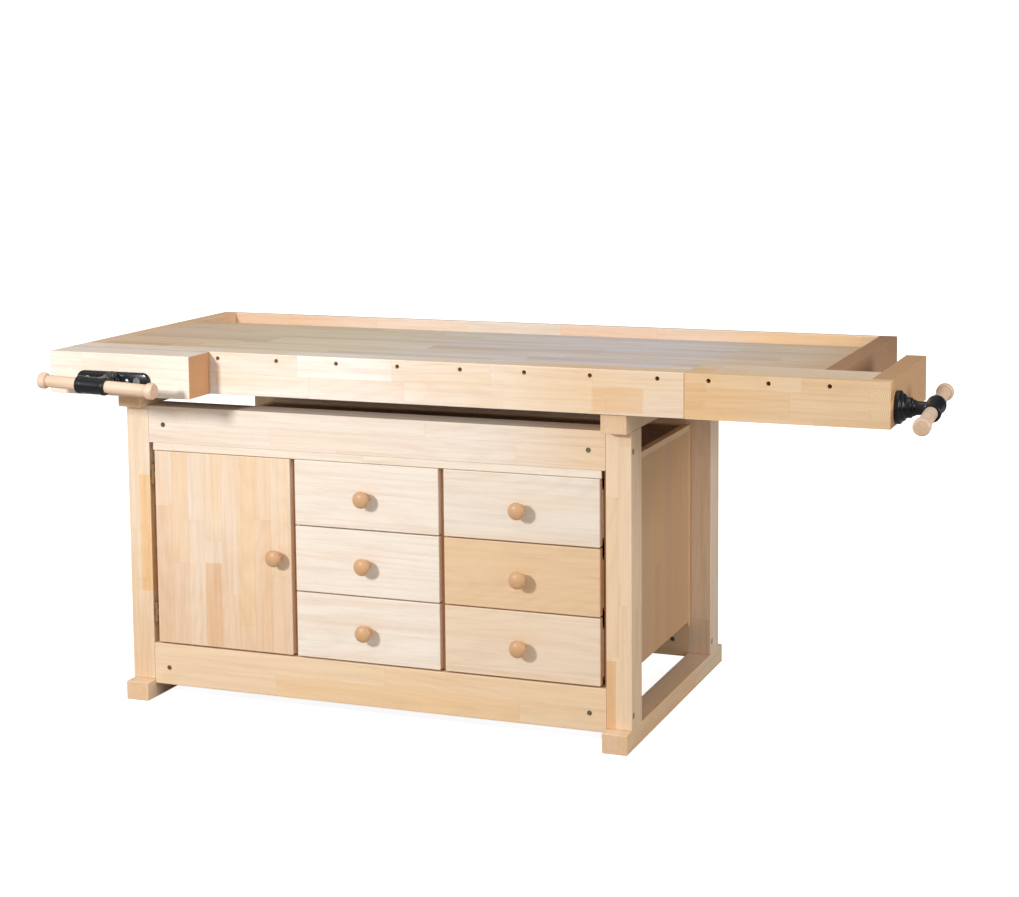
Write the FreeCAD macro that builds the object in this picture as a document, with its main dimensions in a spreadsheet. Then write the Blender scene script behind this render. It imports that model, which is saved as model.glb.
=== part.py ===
import FreeCAD, Part

import os
import re

import Sketcher

# Woodworking bench on a trestle base with a cupboard, six drawers and two vises.
# Millimetres. Every piece is drawn from the middle of the base: +X to the right, +Y to
# the back, +Z up, with the working side facing -Y. Each piece is then moved so that the
# origin lies on the floor under the middle of the whole bench.

DIMENSIONS = {
    # trestle base
    "base_width": 1280.0,
    "base_depth": 725.0,
    "post_width": 60.0,
    "post_depth": 75.0,
    "foot_height": 46.0,
    "foot_overhang": 36.0,
    "bearer_bottom": 722.0,
    "bearer_height": 44.0,
    "rail_thickness": 28.0,
    "rail_lip": 20.0,
    "top_rail_bottom": 632.0,
    "low_rail_bottom": 36.0,
    "low_rail_height": 101.0,
    "fitting_inset": 40.0,
    "low_fitting_height": 78.0,
    "nut_radius": 6.0,
    "bolt_radius": 4.0,
    "bolt_head_radius": 7.0,
    "counterbore_depth": 10.0,
    "head_setback": 2.0,
    "nut_setback": 1.0,
    # top
    "bench_height": 866.0,
    "skirt_depth": 100.0,
    "slab_thickness": 45.0,
    "top_left": 758.0,
    "top_right": 1090.0,
    "apron_overhang": 45.0,
    "apron_thickness": 60.0,
    "slab_back": 490.0,
    "top_back": 715.0,
    "cap_thickness": 42.0,
    "tray_wall": 20.0,
    "tray_floor": 12.0,
    "tray_lap": 20.0,
    "peg_radius": 5.0,
    "peg_depth": 30.0,
    "peg_drop": 15.0,
    "apron_peg_start": 361.0,
    "apron_peg_pitch": 153.4,
    "jaw_peg_start": 827.0,
    "jaw_peg_pitch": 131.0,
    "jaw_peg_depth": 26.0,
    "batten_start": 262.0,
    # cupboard and drawers
    "board": 18.0,
    "carcass_half": 588.0,
    "carcass_bottom": 120.0,
    "carcass_back": 632.0,
    "panel_rise": 12.0,
    "panel_proud": 2.0,
    "lid_setback": 1.5,
    "back_board": 12.0,
    "front_thickness": 20.0,
    "front_bottom": 141.0,
    "front_height": 155.3,
    "front_gap": 3.0,
    "front_rest": 1.0,
    "door_left": 566.0,
    "door_right": 202.0,
    "partition_left": 205.0,
    "partition_right": 174.5,
    "column_one_left": 189.5,
    "column_one_width": 366.5,
    "column_two_left": 190.0,
    "column_two_width": 376.0,
    "shelf_height": 375.0,
    "shelf_setback": 60.0,
    "box_length": 520.0,
    "box_height": 110.0,
    "box_wall": 12.0,
    "box_floor": 6.0,
    "box_lift": 18.0,
    "box_hollow": 8.0,
    "side_clearance": 2.0,
    "runner_width": 16.0,
    "runner_height": 12.0,
    "runner_start": 40.0,
    "slide_gap": 0.4,
    "knob_radius": 20.0,
    "knob_stem": 8.0,
    "knob_reach": 40.0,
    "knob_head": 11.0,
    "knob_drop": 2.0,
    "door_knob_side": 236.0,
    "door_knob_height": 378.0,
    "hinge_side": 573.0,
    "hinge_inset": 4.0,
    "hinge_pin": 2.5,
    "hinge_barrel": 4.5,
    "hinge_knuckle": 16.0,
    "hinge_low": 190.0,
    "hinge_high": 530.0,
    "leaf": 2.0,
    "leaf_bite": 1.0,
    # vises
    "fit_gap": 0.3,
    "jaw_gap": 0.7,
    "running_fit": 0.05,
    "screw_clearance": 0.5,
    "overrun": 1.0,
    "jaw_thickness": 92.0,
    "jaw_lining": 4.7,
    "jaw_right": 383.0,
    "front_axis_side": 583.0,
    "vise_axis_height": 804.0,
    "screw_radius": 13.0,
    "front_hub_reach": 93.0,
    "front_screw_back": 250.0,
    "bar_spread": 66.0,
    "bar_radius": 9.0,
    "bar_proud": 2.0,
    "front_bar_back": 245.0,
    "plate_width": 196.0,
    "plate_height": 40.0,
    "plate_thickness": 8.0,
    "boss_wall": 9.0,
    "neck_radius": 18.0,
    "hub_radius": 21.0,
    "hub_length": 76.0,
    "handle_radius": 14.5,
    "handle_length": 304.0,
    "handle_end_radius": 19.0,
    "handle_end_length": 20.0,
    "handle_end_proud": 2.0,
    "front_handle_shift": 12.0,
    "front_tilt": 2.5,
    "nut_block": 60.0,
    "nut_depth": 40.0,
    "split_side": 773.0,
    "tail_right": 1217.0,
    "tail_depth": 140.0,
    "tail_block": 50.0,
    "tail_wall": 32.0,
    "tail_lid": 22.0,
    "end_plate": 45.0,
    "end_plate_length": 427.0,
    "tail_axis_inset": 20.0,
    "collar_radius": 36.0,
    "collar_thickness": 12.0,
    "collar_step": 8.0,
    "collar_step_radius": 29.0,
    "collar_boss": 14.0,
    "tail_hub_reach": 78.0,
    "tail_screw_left": 832.0,
    "tail_nut_left": 990.0,
    "tail_nut_reach": 24.0,
    "lid_gap": 2.0,
    "tail_bar_near": 180.0,
    "tail_bar_far": 330.0,
    "tail_bar_height": 791.0,
    "tail_bar_left": 800.0,
    "bar_cover": 10.0,
    "tail_tilt": 6.0,
    # edges
    "edge_round": 2.0,
    "small_round": 1.2,
}

FRONT = "(-base_depth/2)"
BACK = "(base_depth/2)"
SIDE = "(base_width/2)"
INNER = "(base_width/2 - post_width)"
APRON_FRONT = "(-base_depth/2 - apron_overhang)"
APRON_BACK = "(-base_depth/2 - apron_overhang + apron_thickness)"
SKIRT = "(bench_height - skirt_depth)"
SLAB_UNDER = "(bench_height - slab_thickness)"
SLAB_BACK = "(-base_depth/2 + slab_back)"
TOP_BACK = "(-base_depth/2 + top_back)"
BEARER_TOP = "(bearer_bottom + bearer_height)"
CARCASS_FRONT = "(-base_depth/2 + front_thickness + front_rest)"
CARCASS_BACK = "(-base_depth/2 + carcass_back)"
CARCASS_TOP = "top_rail_bottom"
CARCASS_INNER = "(carcass_half - board)"
FLOOR_TOP = "(carcass_bottom + board)"
JAW_FRONT = "(-base_depth/2 - apron_overhang - fit_gap - jaw_lining - jaw_thickness)"
TAIL_AXIS = "(-base_depth/2 + tail_axis_inset)"
MIDDLE_X = "((tail_right + tail_hub_reach + hub_radius - top_left)/2)"
MIDDLE_Y = "((" + BACK + " + foot_overhang + " + JAW_FRONT + " - front_hub_reach - hub_radius)/2)"

LEFT_TO_RIGHT = FreeCAD.Rotation(FreeCAD.Vector(0, 1, 0), 90)
FRONT_TO_BACK = FreeCAD.Rotation(FreeCAD.Vector(1, 0, 0), -90)
UPWARDS = FreeCAD.Rotation()
TURN = {"x": LEFT_TO_RIGHT, "y": FRONT_TO_BACK, "z": UPWARDS}

APRON_PEG_HOLES = 8
JAW_PEG_HOLES = 3
JOINT_FINGERS = 5
DRAWERS_PER_COLUMN = 3

doc = FreeCAD.newDocument("workbench")
sheet = doc.addObject("Spreadsheet::Sheet", "dims")
for row, (alias, value) in enumerate(DIMENSIONS.items(), start=1):
    sheet.set("A%d" % row, alias)
    sheet.set("B%d" % row, "%g" % value)
    sheet.setAlias("B%d" % row, alias)
doc.recompute()

subparts = []


def bound(text):
    """A sheet expression: every word that is an alias is read from the sheet."""
    return re.sub(r"[a-z_]+", lambda m: "dims." + m[0] if m[0] in DIMENSIONS else m[0], text)


def vector(x, y, z):
    """A vector in the sheet's language."""
    return "create(<<vector>>; %s; %s; %s)" % (bound(x), bound(y), bound(z))


def stand(item, turn_axis=("0", "0", "1"), angle="0", centre=("0", "0", "0")):
    """Moves a finished piece from the base's middle to the bench's, turned about an axis."""
    moved = vector("-" + MIDDLE_X, "-" + MIDDLE_Y, "0")
    turned = "create(<<rotation>>; %s; %s)" % (vector(*turn_axis), bound(angle))
    item.setExpression("Placement", "create(<<placement>>; %s; %s; %s)"
                       % (moved, turned, vector(*centre)))


def new_body(label):
    """An empty body that becomes the node of that name."""
    body = doc.addObject("PartDesign::Body", "Body_" + label)
    body.Label = label
    stand(body)
    subparts.append(body)
    return body


def place(feature, corner, axis="z"):
    """Binds a primitive's place inside its body and turns its length along an axis."""
    feature.MapMode = "Deactivated"
    feature.Placement = FreeCAD.Placement(FreeCAD.Vector(), TURN[axis])
    for name, text in zip("xyz", corner):
        feature.setExpression("Placement.Base." + name, bound(text))


def box(body, sign, x, y, z):
    """Adds (+) or cuts (-) a block given by its low and high side along each axis."""
    kind = "PartDesign::AdditiveBox" if sign == "+" else "PartDesign::SubtractiveBox"
    feature = body.newObject(kind, "Block")
    place(feature, (x[0], y[0], z[0]))
    for name, (low, high) in (("Length", x), ("Width", y), ("Height", z)):
        feature.setExpression(name, bound("(%s) - (%s)" % (high, low)))
    return feature


def rod(body, sign, axis, start, radius, length):
    """Adds (+) or cuts (-) a cylinder from a start point along an axis."""
    kind = "PartDesign::AdditiveCylinder" if sign == "+" else "PartDesign::SubtractiveCylinder"
    feature = body.newObject(kind, "Rod")
    place(feature, start, axis)
    feature.setExpression("Radius", bound(radius))
    feature.setExpression("Height", bound(length))
    return feature


def soften(body, size="edge_round"):
    """Rounds every edge that the body has so far."""
    doc.recompute()
    tip = body.Tip
    feature = body.newObject("PartDesign::Fillet", "Soften")
    feature.Base = (tip, [""])
    feature.UseAllEdges = True
    feature.setExpression("Radius", bound(size))
    return feature


def board(label, x, y, z, size="edge_round"):
    """A planed board with softened edges."""
    body = new_body(label)
    box(body, "+", x, y, z)
    soften(body, size)
    return body


def origin_plane(body, role):
    """One of the body's own origin planes or axes, by its role."""
    return next(item for item in body.Origin.OriginFeatures if item.Role == role)


def worked_out(text):
    """The number that an expression of sheet aliases comes to, worked out in a helper cell."""
    sheet.set("D1", "=" + text)
    sheet.recompute()
    return float(sheet.get("D1"))


def outline_pad(body, points, height, lift):
    """Pads a closed outline of (x, y) expressions, drawn on the XY plane, upwards from lift."""
    sketch = body.newObject("Sketcher::SketchObject", "Outline")
    sketch.AttachmentSupport = [(origin_plane(body, "XY_Plane"), "")]
    sketch.MapMode = "FlatFace"
    sketch.setExpression("AttachmentOffset.Base.z", bound(lift))
    corners = [FreeCAD.Vector(worked_out(x), worked_out(y), 0) for x, y in points]
    count = len(points)
    for index in range(count):
        following = (index + 1) % count
        sketch.addGeometry(Part.LineSegment(corners[index], corners[following]), False)
    for index in range(count):
        following = (index + 1) % count
        sketch.addConstraint(Sketcher.Constraint("Coincident", index, 2, following, 1))
    for index, (x, y) in enumerate(points):
        for kind, text, size in (("DistanceX", x, corners[index].x),
                                 ("DistanceY", y, corners[index].y)):
            measure = Sketcher.Constraint(kind, -1, 1, index, 1, size)
            number = sketch.addConstraint(measure)
            sketch.setExpression("Constraints[%d]" % number, bound(text))
    pad = body.newObject("PartDesign::Pad", "Pad")
    pad.Profile = sketch
    pad.setExpression("Length", bound(height))
    return pad


def repeat_along_x(body, feature, pitch, count):
    """Repeats a feature along the body's X axis and makes the row the body's tip."""
    row = body.newObject("PartDesign::LinearPattern", "Row")
    row.Originals = [feature]
    row.Direction = (origin_plane(body, "X_Axis"), [""])
    row.Mode = "Spacing"
    row.setExpression("Offset", bound(pitch))
    row.Occurrences = count
    body.Tip = row
    return row


def group(label, pieces):
    """One node of separate solids: like pieces made of Part primitives, held in a compound."""
    holder = doc.addObject("Part::Compound", "Group_" + label)
    holder.Label = label
    holder.Links = pieces
    stand(holder)
    subparts.append(holder)
    return holder


def loose_rod(axis, start, radius, length):
    """A Part cylinder that stands alone, for a group."""
    item = doc.addObject("Part::Cylinder", "LooseRod")
    item.Placement = FreeCAD.Placement(FreeCAD.Vector(), TURN[axis])
    for name, text in zip("xyz", start):
        item.setExpression("Placement.Base." + name, bound(text))
    item.setExpression("Radius", bound(radius))
    item.setExpression("Height", bound(length))
    return item


def loose_block(x, y, z):
    """A Part block that stands alone, for a group."""
    item = doc.addObject("Part::Box", "LooseBlock")
    for name, (low, high) in zip("xyz", (x, y, z)):
        item.setExpression("Placement.Base." + name, bound(low))
    for name, (low, high) in (("Length", x), ("Width", y), ("Height", z)):
        item.setExpression(name, bound("(%s) - (%s)" % (high, low)))
    return item


def joined(items):
    """Several loose solids fused into one, such as a bolt's head and shank."""
    item = doc.addObject("Part::MultiFuse", "Joined")
    item.Shapes = items
    return item


# ---------------------------------------------------------------- trestle base

SIDES = ("left", "right")
ENDS = {"front": (FRONT, FRONT + " + post_depth"), "rear": (BACK + " - post_depth", BACK)}
FITTING_HEIGHTS = ("(top_rail_bottom + (bearer_bottom - top_rail_bottom)/2)",
                   "low_fitting_height")
RAIL_MIDDLES = {"front": "(-base_depth/2 + rail_thickness/2)",
                "rear": "(base_depth/2 - post_depth + rail_thickness/2)"}


def across(side):
    """The X span of the end frame on one side, low side first."""
    if side == "left":
        return "-" + SIDE, "-" + INNER
    return INNER, SIDE


def make_end_frames():
    """Each end frame: a foot, two posts drilled for the rail bolts, and a bearer."""
    reach = (FRONT + " - foot_overhang", BACK + " + foot_overhang")
    for side in SIDES:
        board("foot_" + side, across(side), reach, ("0", "foot_height"))
        board("bearer_" + side, across(side), reach, ("bearer_bottom", BEARER_TOP))
        for end, depth in ENDS.items():
            post = board("post_%s_%s" % (end, side), across(side), depth,
                         ("foot_height", "bearer_bottom"))
            for height in FITTING_HEIGHTS:
                start = ("-" + SIDE if side == "left" else INNER, RAIL_MIDDLES[end], height)
                rod(post, "-", "x", start, "bolt_radius + running_fit", "post_width")
                sink = ("-" + SIDE if side == "left" else SIDE + " - counterbore_depth",
                        RAIL_MIDDLES[end], height)
                rod(post, "-", "x", sink, "bolt_head_radius + fit_gap", "counterbore_depth")


def make_rails():
    """Long rails between the posts, drilled for the cross dowel nuts and their bolts.

    A lip along the top of each upper rail makes it as deep as the posts.
    """
    levels = {"top": ("top_rail_bottom", "bearer_bottom"),
              "bottom": ("low_rail_bottom", "low_rail_bottom + low_rail_height")}
    depths = {"front": (FRONT, FRONT + " + rail_thickness"),
              "rear": (BACK + " - post_depth", BACK + " - post_depth + rail_thickness")}
    for end, depth in depths.items():
        for (level, span), height in zip(levels.items(), FITTING_HEIGHTS):
            rail = board("rail_%s_%s" % (end, level), ("-" + INNER, INNER), depth, span)
            if level == "top":
                box(rail, "+", ("-" + INNER, INNER),
                    (depth[1] + " - overrun", depth[0] + " + post_depth"),
                    ("bearer_bottom - rail_lip", "bearer_bottom"))
            for sign in ("-", ""):
                nut = (sign + "(base_width/2 - post_width - fitting_inset)", depth[0], height)
                rod(rail, "-", "y", nut, "nut_radius + running_fit", "rail_thickness")
                start = "-" + INNER if sign else INNER + " - fitting_inset - nut_radius"
                rod(rail, "-", "x", (start, RAIL_MIDDLES[end], height),
                    "bolt_radius + running_fit", "fitting_inset + nut_radius")


def make_fittings():
    """Eight hexagon bolts and the eight cross dowel nuts that they pull on."""
    pieces = []
    for end, middle in RAIL_MIDDLES.items():
        face = FRONT if end == "front" else BACK + " - post_depth"
        for height in FITTING_HEIGHTS:
            for sign in ("-", ""):
                inset = sign + "(base_width/2 - post_width - fitting_inset)"
                nut = loose_rod("y", (inset, face + " + nut_setback", height), "nut_radius",
                                "rail_thickness - 2*nut_setback")
                length = "post_width + fitting_inset - nut_radius - counterbore_depth"
                shank_start = ("-" + SIDE + " + counterbore_depth" if sign
                               else INNER + " - fitting_inset + nut_radius")
                head_start = ("-" + SIDE + " + head_setback" if sign
                              else SIDE + " - counterbore_depth")
                shank = loose_rod("x", (shank_start, middle, height), "bolt_radius", length)
                head = loose_rod("x", (head_start, middle, height), "bolt_head_radius",
                                 "counterbore_depth - head_setback")
                pieces += [nut, joined([shank, head])]
    group("rail_fittings", pieces)


# ---------------------------------------------------------------- top

def make_top():
    """The laminated slab, its apron, end caps, tool tray and the battens below it."""
    recess_edge = APRON_FRONT + " + tail_depth + jaw_gap"
    slab = new_body("top_slab")
    left, right = "(-top_left + cap_thickness)", "(top_right - cap_thickness)"
    outline_pad(slab, [(left, APRON_BACK), ("split_side", APRON_BACK), ("split_side", recess_edge),
                       (right, recess_edge), (right, SLAB_BACK), (left, SLAB_BACK)],
                "slab_thickness", SLAB_UNDER)
    soften(slab, "small_round")

    apron = board("apron", ("-top_left", "split_side"), (APRON_FRONT, APRON_BACK),
                  (SKIRT, "bench_height"))
    for turn in ("-1", "0", "1"):
        radius = "screw_radius + screw_clearance" if turn == "0" else "bar_radius + running_fit"
        start = ("-front_axis_side + (%s)*bar_spread" % turn, APRON_FRONT, "vise_axis_height")
        rod(apron, "-", "y", start, radius, "apron_thickness")
    doc.recompute()
    hole = rod(apron, "-", "y", ("-apron_peg_start", APRON_FRONT, "bench_height - peg_drop"),
               "peg_radius", "peg_depth")
    doc.recompute()
    repeat_along_x(apron, hole, "apron_peg_pitch", APRON_PEG_HOLES)

    cap_top = (SKIRT, "bench_height")
    board("end_cap_left", ("-top_left", left), (APRON_BACK, TOP_BACK), cap_top)
    cap = board("end_cap_right", (right, "top_right"), (recess_edge, TOP_BACK), cap_top)
    for inset in ("tail_bar_near", "tail_bar_far"):
        start = (right, FRONT + " + " + inset, "tail_bar_height")
        rod(cap, "-", "x", start, "bar_radius + running_fit", "cap_thickness")
    board("tray_back", (left, right), (TOP_BACK + " - tray_wall", TOP_BACK), cap_top)
    board("tray_bottom", (left, right), (SLAB_BACK + " - tray_lap", TOP_BACK + " - tray_wall"),
          (SLAB_UNDER + " - tray_floor", SLAB_UNDER), "small_round")
    level = (SKIRT, SLAB_UNDER)
    back = SLAB_BACK + " - tray_lap"
    group("top_battens", [
        loose_block(across("left"), (FRONT + " + batten_start", back), level),
        loose_block(across("right"), (APRON_BACK, back), level)])


# ---------------------------------------------------------------- cupboard

def make_carcass():
    """The cupboard between the end frames: sides, floor, lid, back, partitions and shelf.

    Each side has a narrow strip in front, which closes the gap beside the post.
    """
    panel_y = (FRONT + " + post_depth", CARCASS_BACK)
    panel_z = ("carcass_bottom + panel_rise", CARCASS_TOP + " + panel_proud")
    for side, span in (("left", ("-carcass_half", "-" + CARCASS_INNER)),
                       ("right", (CARCASS_INNER, "carcass_half"))):
        panel = board("side_panel_" + side, span, panel_y, panel_z, "small_round")
        strip = {"left": ("-" + INNER + " + fit_gap", "-" + CARCASS_INNER),
                 "right": (CARCASS_INNER, INNER + " - fit_gap")}[side]
        box(panel, "+", strip, (CARCASS_FRONT, panel_y[0] + " + board"),
            ("low_rail_bottom + low_rail_height + fit_gap", CARCASS_TOP + " - fit_gap"))
    wide = ("-" + CARCASS_INNER, CARCASS_INNER)
    deep = (CARCASS_FRONT, CARCASS_BACK)
    board("cabinet_top", wide, (FRONT + " + lid_setback", CARCASS_BACK),
          (CARCASS_TOP + " - board", CARCASS_TOP), "small_round")
    board("cabinet_bottom", wide, (FRONT + " + rail_thickness", CARCASS_BACK),
          ("carcass_bottom", FLOOR_TOP), "small_round")
    board("cabinet_back", ("-carcass_half", "carcass_half"),
          (CARCASS_BACK, CARCASS_BACK + " + back_board"),
          ("carcass_bottom", CARCASS_TOP + " + panel_proud"), "small_round")
    level = (FLOOR_TOP, CARCASS_TOP + " - board")
    group("partitions", [loose_block((low, low + " + board"), deep, level)
                         for low in ("-partition_left", "partition_right")])
    board("shelf", ("-" + CARCASS_INNER, "-partition_left"),
          (FRONT + " + shelf_setback", CARCASS_BACK),
          ("shelf_height", "shelf_height + board"), "small_round")


COLUMNS = {"left": ("-column_one_left", "column_one_width", "-partition_left + board",
                    "partition_right"),
           "right": ("column_two_left", "column_two_width", "partition_right + board",
                     CARCASS_INNER)}


def front_bottom(level):
    """The lower edge of the drawer front at a level, counted from the bottom."""
    return "(front_bottom + %d*(front_height + front_gap))" % level


def make_drawers():
    """Six drawers: an overlay front with the box behind it, and a turned knob each."""
    for column, (left, width, bay_left, bay_right) in COLUMNS.items():
        for level in range(DRAWERS_PER_COLUMN):
            low = front_bottom(level)
            name = "drawer_%s_%d" % (column, level + 1)
            drawer = new_body(name)
            box(drawer, "+", (left, left + " + " + width), (FRONT, FRONT + " + front_thickness"),
                (low, low + " + front_height"))
            soften(drawer)
            sides = (bay_left + " + side_clearance", bay_right + " - side_clearance")
            depth = (FRONT + " + front_thickness", FRONT + " + front_thickness + box_length")
            floor = low + " + box_lift"
            box(drawer, "+", sides, depth, (floor, floor + " + box_height"))
            inside = (sides[0] + " + box_wall", sides[1] + " - box_wall")
            box(drawer, "-", inside, (depth[0], depth[1] + " - box_wall"),
                (floor + " + box_hollow + box_floor", floor + " + box_height + overrun"))
            box(drawer, "-", inside, (depth[0] + " + box_wall", depth[1] + " - box_wall"),
                (floor + " - overrun", floor + " + box_hollow"))
            knob(name + "_knob", left + " + (" + width + ")/2",
                 low + " + front_height/2 - knob_drop")


def knob(label, across_at, height):
    """A turned mushroom knob: a stem that flares into a flattened head."""
    body = new_body(label)
    rod(body, "+", "y", (across_at, FRONT + " - knob_reach + knob_head", height), "knob_stem",
        "knob_reach - knob_head")
    head = body.newObject("PartDesign::AdditiveEllipsoid", "Head")
    place(head, (across_at, FRONT + " - knob_reach + knob_head", height), "y")
    head.setExpression("Radius1", bound("knob_head"))
    head.setExpression("Radius2", bound("knob_radius"))
    head.setExpression("Radius3", bound("knob_radius"))
    return body


def make_runners():
    """Two rails under each drawer box, screwed to the partitions and sides."""
    pieces = []
    for column, (left, width, bay_left, bay_right) in COLUMNS.items():
        for level in range(DRAWERS_PER_COLUMN):
            top = front_bottom(level) + " + box_lift - slide_gap"
            for span in ((bay_left, bay_left + " + runner_width"),
                         (bay_right + " - runner_width", bay_right)):
                pieces.append(loose_block(span, (FRONT + " + runner_start", CARCASS_BACK),
                                          (top + " - runner_height", top)))
    group("drawer_runners", pieces)


def make_door():
    """The cupboard door, its knob, and two pairs of hinge leaves on a vertical pin."""
    board("door", ("-door_left", "-door_right"), (FRONT, FRONT + " + front_thickness"),
          ("front_bottom", front_bottom(DRAWERS_PER_COLUMN) + " - front_gap"))
    knob("door_knob", "-door_knob_side", "door_knob_height")
    axis = ("-hinge_side", FRONT + " + hinge_inset")
    fixed, moving = [], []
    for low in ("hinge_low", "hinge_high"):
        for index in range(3):
            start = (axis[0], axis[1], low + " + %d*(hinge_knuckle + fit_gap)" % index)
            barrel = loose_rod("z", start, "hinge_barrel", "hinge_knuckle")
            if index == 1:
                bore = loose_rod("z", start, "hinge_pin + running_fit", "hinge_knuckle")
                ring = doc.addObject("Part::Cut", "Ring")
                ring.Base = barrel
                ring.Tool = bore
                tongue = loose_block(("-hinge_side + hinge_pin + leaf_bite", "-door_left"),
                                     (axis[1] + " - leaf/2", axis[1] + " + leaf/2"),
                                     (start[2], start[2] + " + hinge_knuckle"))
                moving.append(joined([ring, tongue]))
            else:
                tongue = loose_block(("-" + INNER, "-hinge_side - hinge_pin - leaf_bite"),
                                     (axis[1] + " - leaf/2", axis[1] + " + leaf/2"),
                                     (start[2], start[2] + " + hinge_knuckle"))
                fixed.append(joined([barrel, tongue]))
        pin_start = (axis[0], axis[1], low + " - overrun")
        fixed.append(loose_rod("z", pin_start, "hinge_pin",
                               "3*hinge_knuckle + 2*fit_gap + 2*overrun"))
    group("door_hinge_knuckles", moving)
    return fixed


def make_post_hinges(fixed):
    """The post side of each hinge: two knuckles fused to the pin that the door turns on."""
    halves = []
    for number in range(2):
        halves.append(joined(fixed[number * 3:number * 3 + 3]))
    group("post_hinge_knuckles", halves)


# ---------------------------------------------------------------- front vise

def make_front_vise():
    """The left vise: a thick jaw on two bars, a cast plate, a screw with its hub, a handle."""
    jaw_back = JAW_FRONT + " + jaw_thickness"
    axis_x, axis_z = "-front_axis_side", "vise_axis_height"
    span = ("-top_left", "-jaw_right")
    jaw = board("front_jaw", span, (JAW_FRONT, jaw_back), (SKIRT, "bench_height"))
    lining = board("front_jaw_lining", span, (jaw_back, APRON_FRONT + " - fit_gap"),
                   (SKIRT, "bench_height"), "small_round")
    for body, start_y, depth in ((jaw, JAW_FRONT, "jaw_thickness"), (lining, jaw_back, "jaw_lining")):
        for turn in ("-1", "0", "1"):
            radius = "screw_radius + fit_gap" if turn == "0" else "bar_radius + running_fit"
            rod(body, "-", "y", (axis_x + " + (%s)*bar_spread" % turn, start_y, axis_z),
                radius, depth)

    plate = new_body("front_vise_plate")
    face = JAW_FRONT + " - plate_thickness"
    box(plate, "+", (axis_x + " - plate_width/2", axis_x + " + plate_width/2"),
        (face, JAW_FRONT), (axis_z + " - plate_height/2", axis_z + " + plate_height/2"))
    soften(plate)
    rod(plate, "+", "y", (axis_x, face + " - collar_boss", axis_z), "screw_radius + boss_wall",
        "collar_boss + overrun")
    rod(plate, "-", "y", (axis_x, face + " - collar_boss - overrun", axis_z),
        "screw_radius + fit_gap", "collar_boss + plate_thickness + 2*overrun")
    for turn in ("-1", "1"):
        rod(plate, "-", "y", (axis_x + " + (%s)*bar_spread" % turn, face, axis_z),
            "bar_radius + running_fit", "plate_thickness")

    screw = new_body("front_screw")
    hub_y = JAW_FRONT + " - front_hub_reach"
    end = FRONT + " + front_screw_back"
    rod(screw, "+", "y", (axis_x, hub_y, axis_z), "screw_radius", end + " - (" + hub_y + ")")
    neck_end = face + " - collar_boss - fit_gap"
    rod(screw, "+", "y", (axis_x, hub_y, axis_z), "neck_radius", neck_end + " - (" + hub_y + ")")
    rod(screw, "+", "x", (axis_x + " - hub_length/2", hub_y, axis_z), "hub_radius", "hub_length")
    rod(screw, "-", "x", (axis_x + " - hub_length/2 - overrun", hub_y, axis_z),
        "handle_radius + fit_gap", "hub_length + 2*overrun")

    handle = make_handle("front_handle", "x", (axis_x + " + front_handle_shift", hub_y, axis_z))
    for item in (screw, handle):
        stand(item, ("0", "1", "0"), "front_tilt", (axis_x, "0", axis_z))

    bar_front = "(" + face + " - bar_proud)"
    bars = [loose_rod("y", (axis_x + " + (%s)*bar_spread" % turn, bar_front, axis_z),
                      "bar_radius", FRONT + " + front_bar_back - " + bar_front)
            for turn in ("-1", "1")]
    group("front_guide_bars", bars)

    nut = board("front_vise_nut", (axis_x + " - nut_block/2", axis_x + " + nut_block/2"),
                (APRON_BACK, APRON_BACK + " + nut_depth"),
                (SLAB_UNDER + " - nut_depth", SLAB_UNDER), "small_round")
    rod(nut, "-", "y", (axis_x, APRON_BACK, axis_z), "screw_radius + running_fit", "nut_depth")


def make_handle(label, axis, middle):
    """A turned handle: a straight bar with a knob at each end."""
    body = new_body(label)
    index = "xyz".index(axis)

    def moved(text):
        start = list(middle)
        start[index] = "%s %s" % (middle[index], text)
        return tuple(start)

    rod(body, "+", axis, moved("- handle_length/2 + handle_end_proud"), "handle_radius",
        "handle_length - 2*handle_end_proud")
    rod(body, "+", axis, moved("- handle_length/2"), "handle_end_radius", "handle_end_length")
    rod(body, "+", axis, moved("+ handle_length/2 - handle_end_length"), "handle_end_radius",
        "handle_end_length")
    soften(body)
    return body


# ---------------------------------------------------------------- tail vise

JAW_LEFT = "(split_side + jaw_gap)"
PLATE_LEFT = "(tail_right - end_plate)"
JAW_BACK = "(-base_depth/2 - apron_overhang + tail_depth)"
WALL_BACK = "(-base_depth/2 - apron_overhang + tail_wall)"


def cut_fingers(body, x, first):
    """Cuts every second finger of a box joint over an X span of the front wall."""
    for index in range(first, JOINT_FINGERS, 2):
        low, high = (SKIRT + " + %d*skirt_depth/%d" % (step, JOINT_FINGERS)
                     for step in (index, index + 1))
        box(body, "-", x, (APRON_FRONT, WALL_BACK), (low, high))


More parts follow.
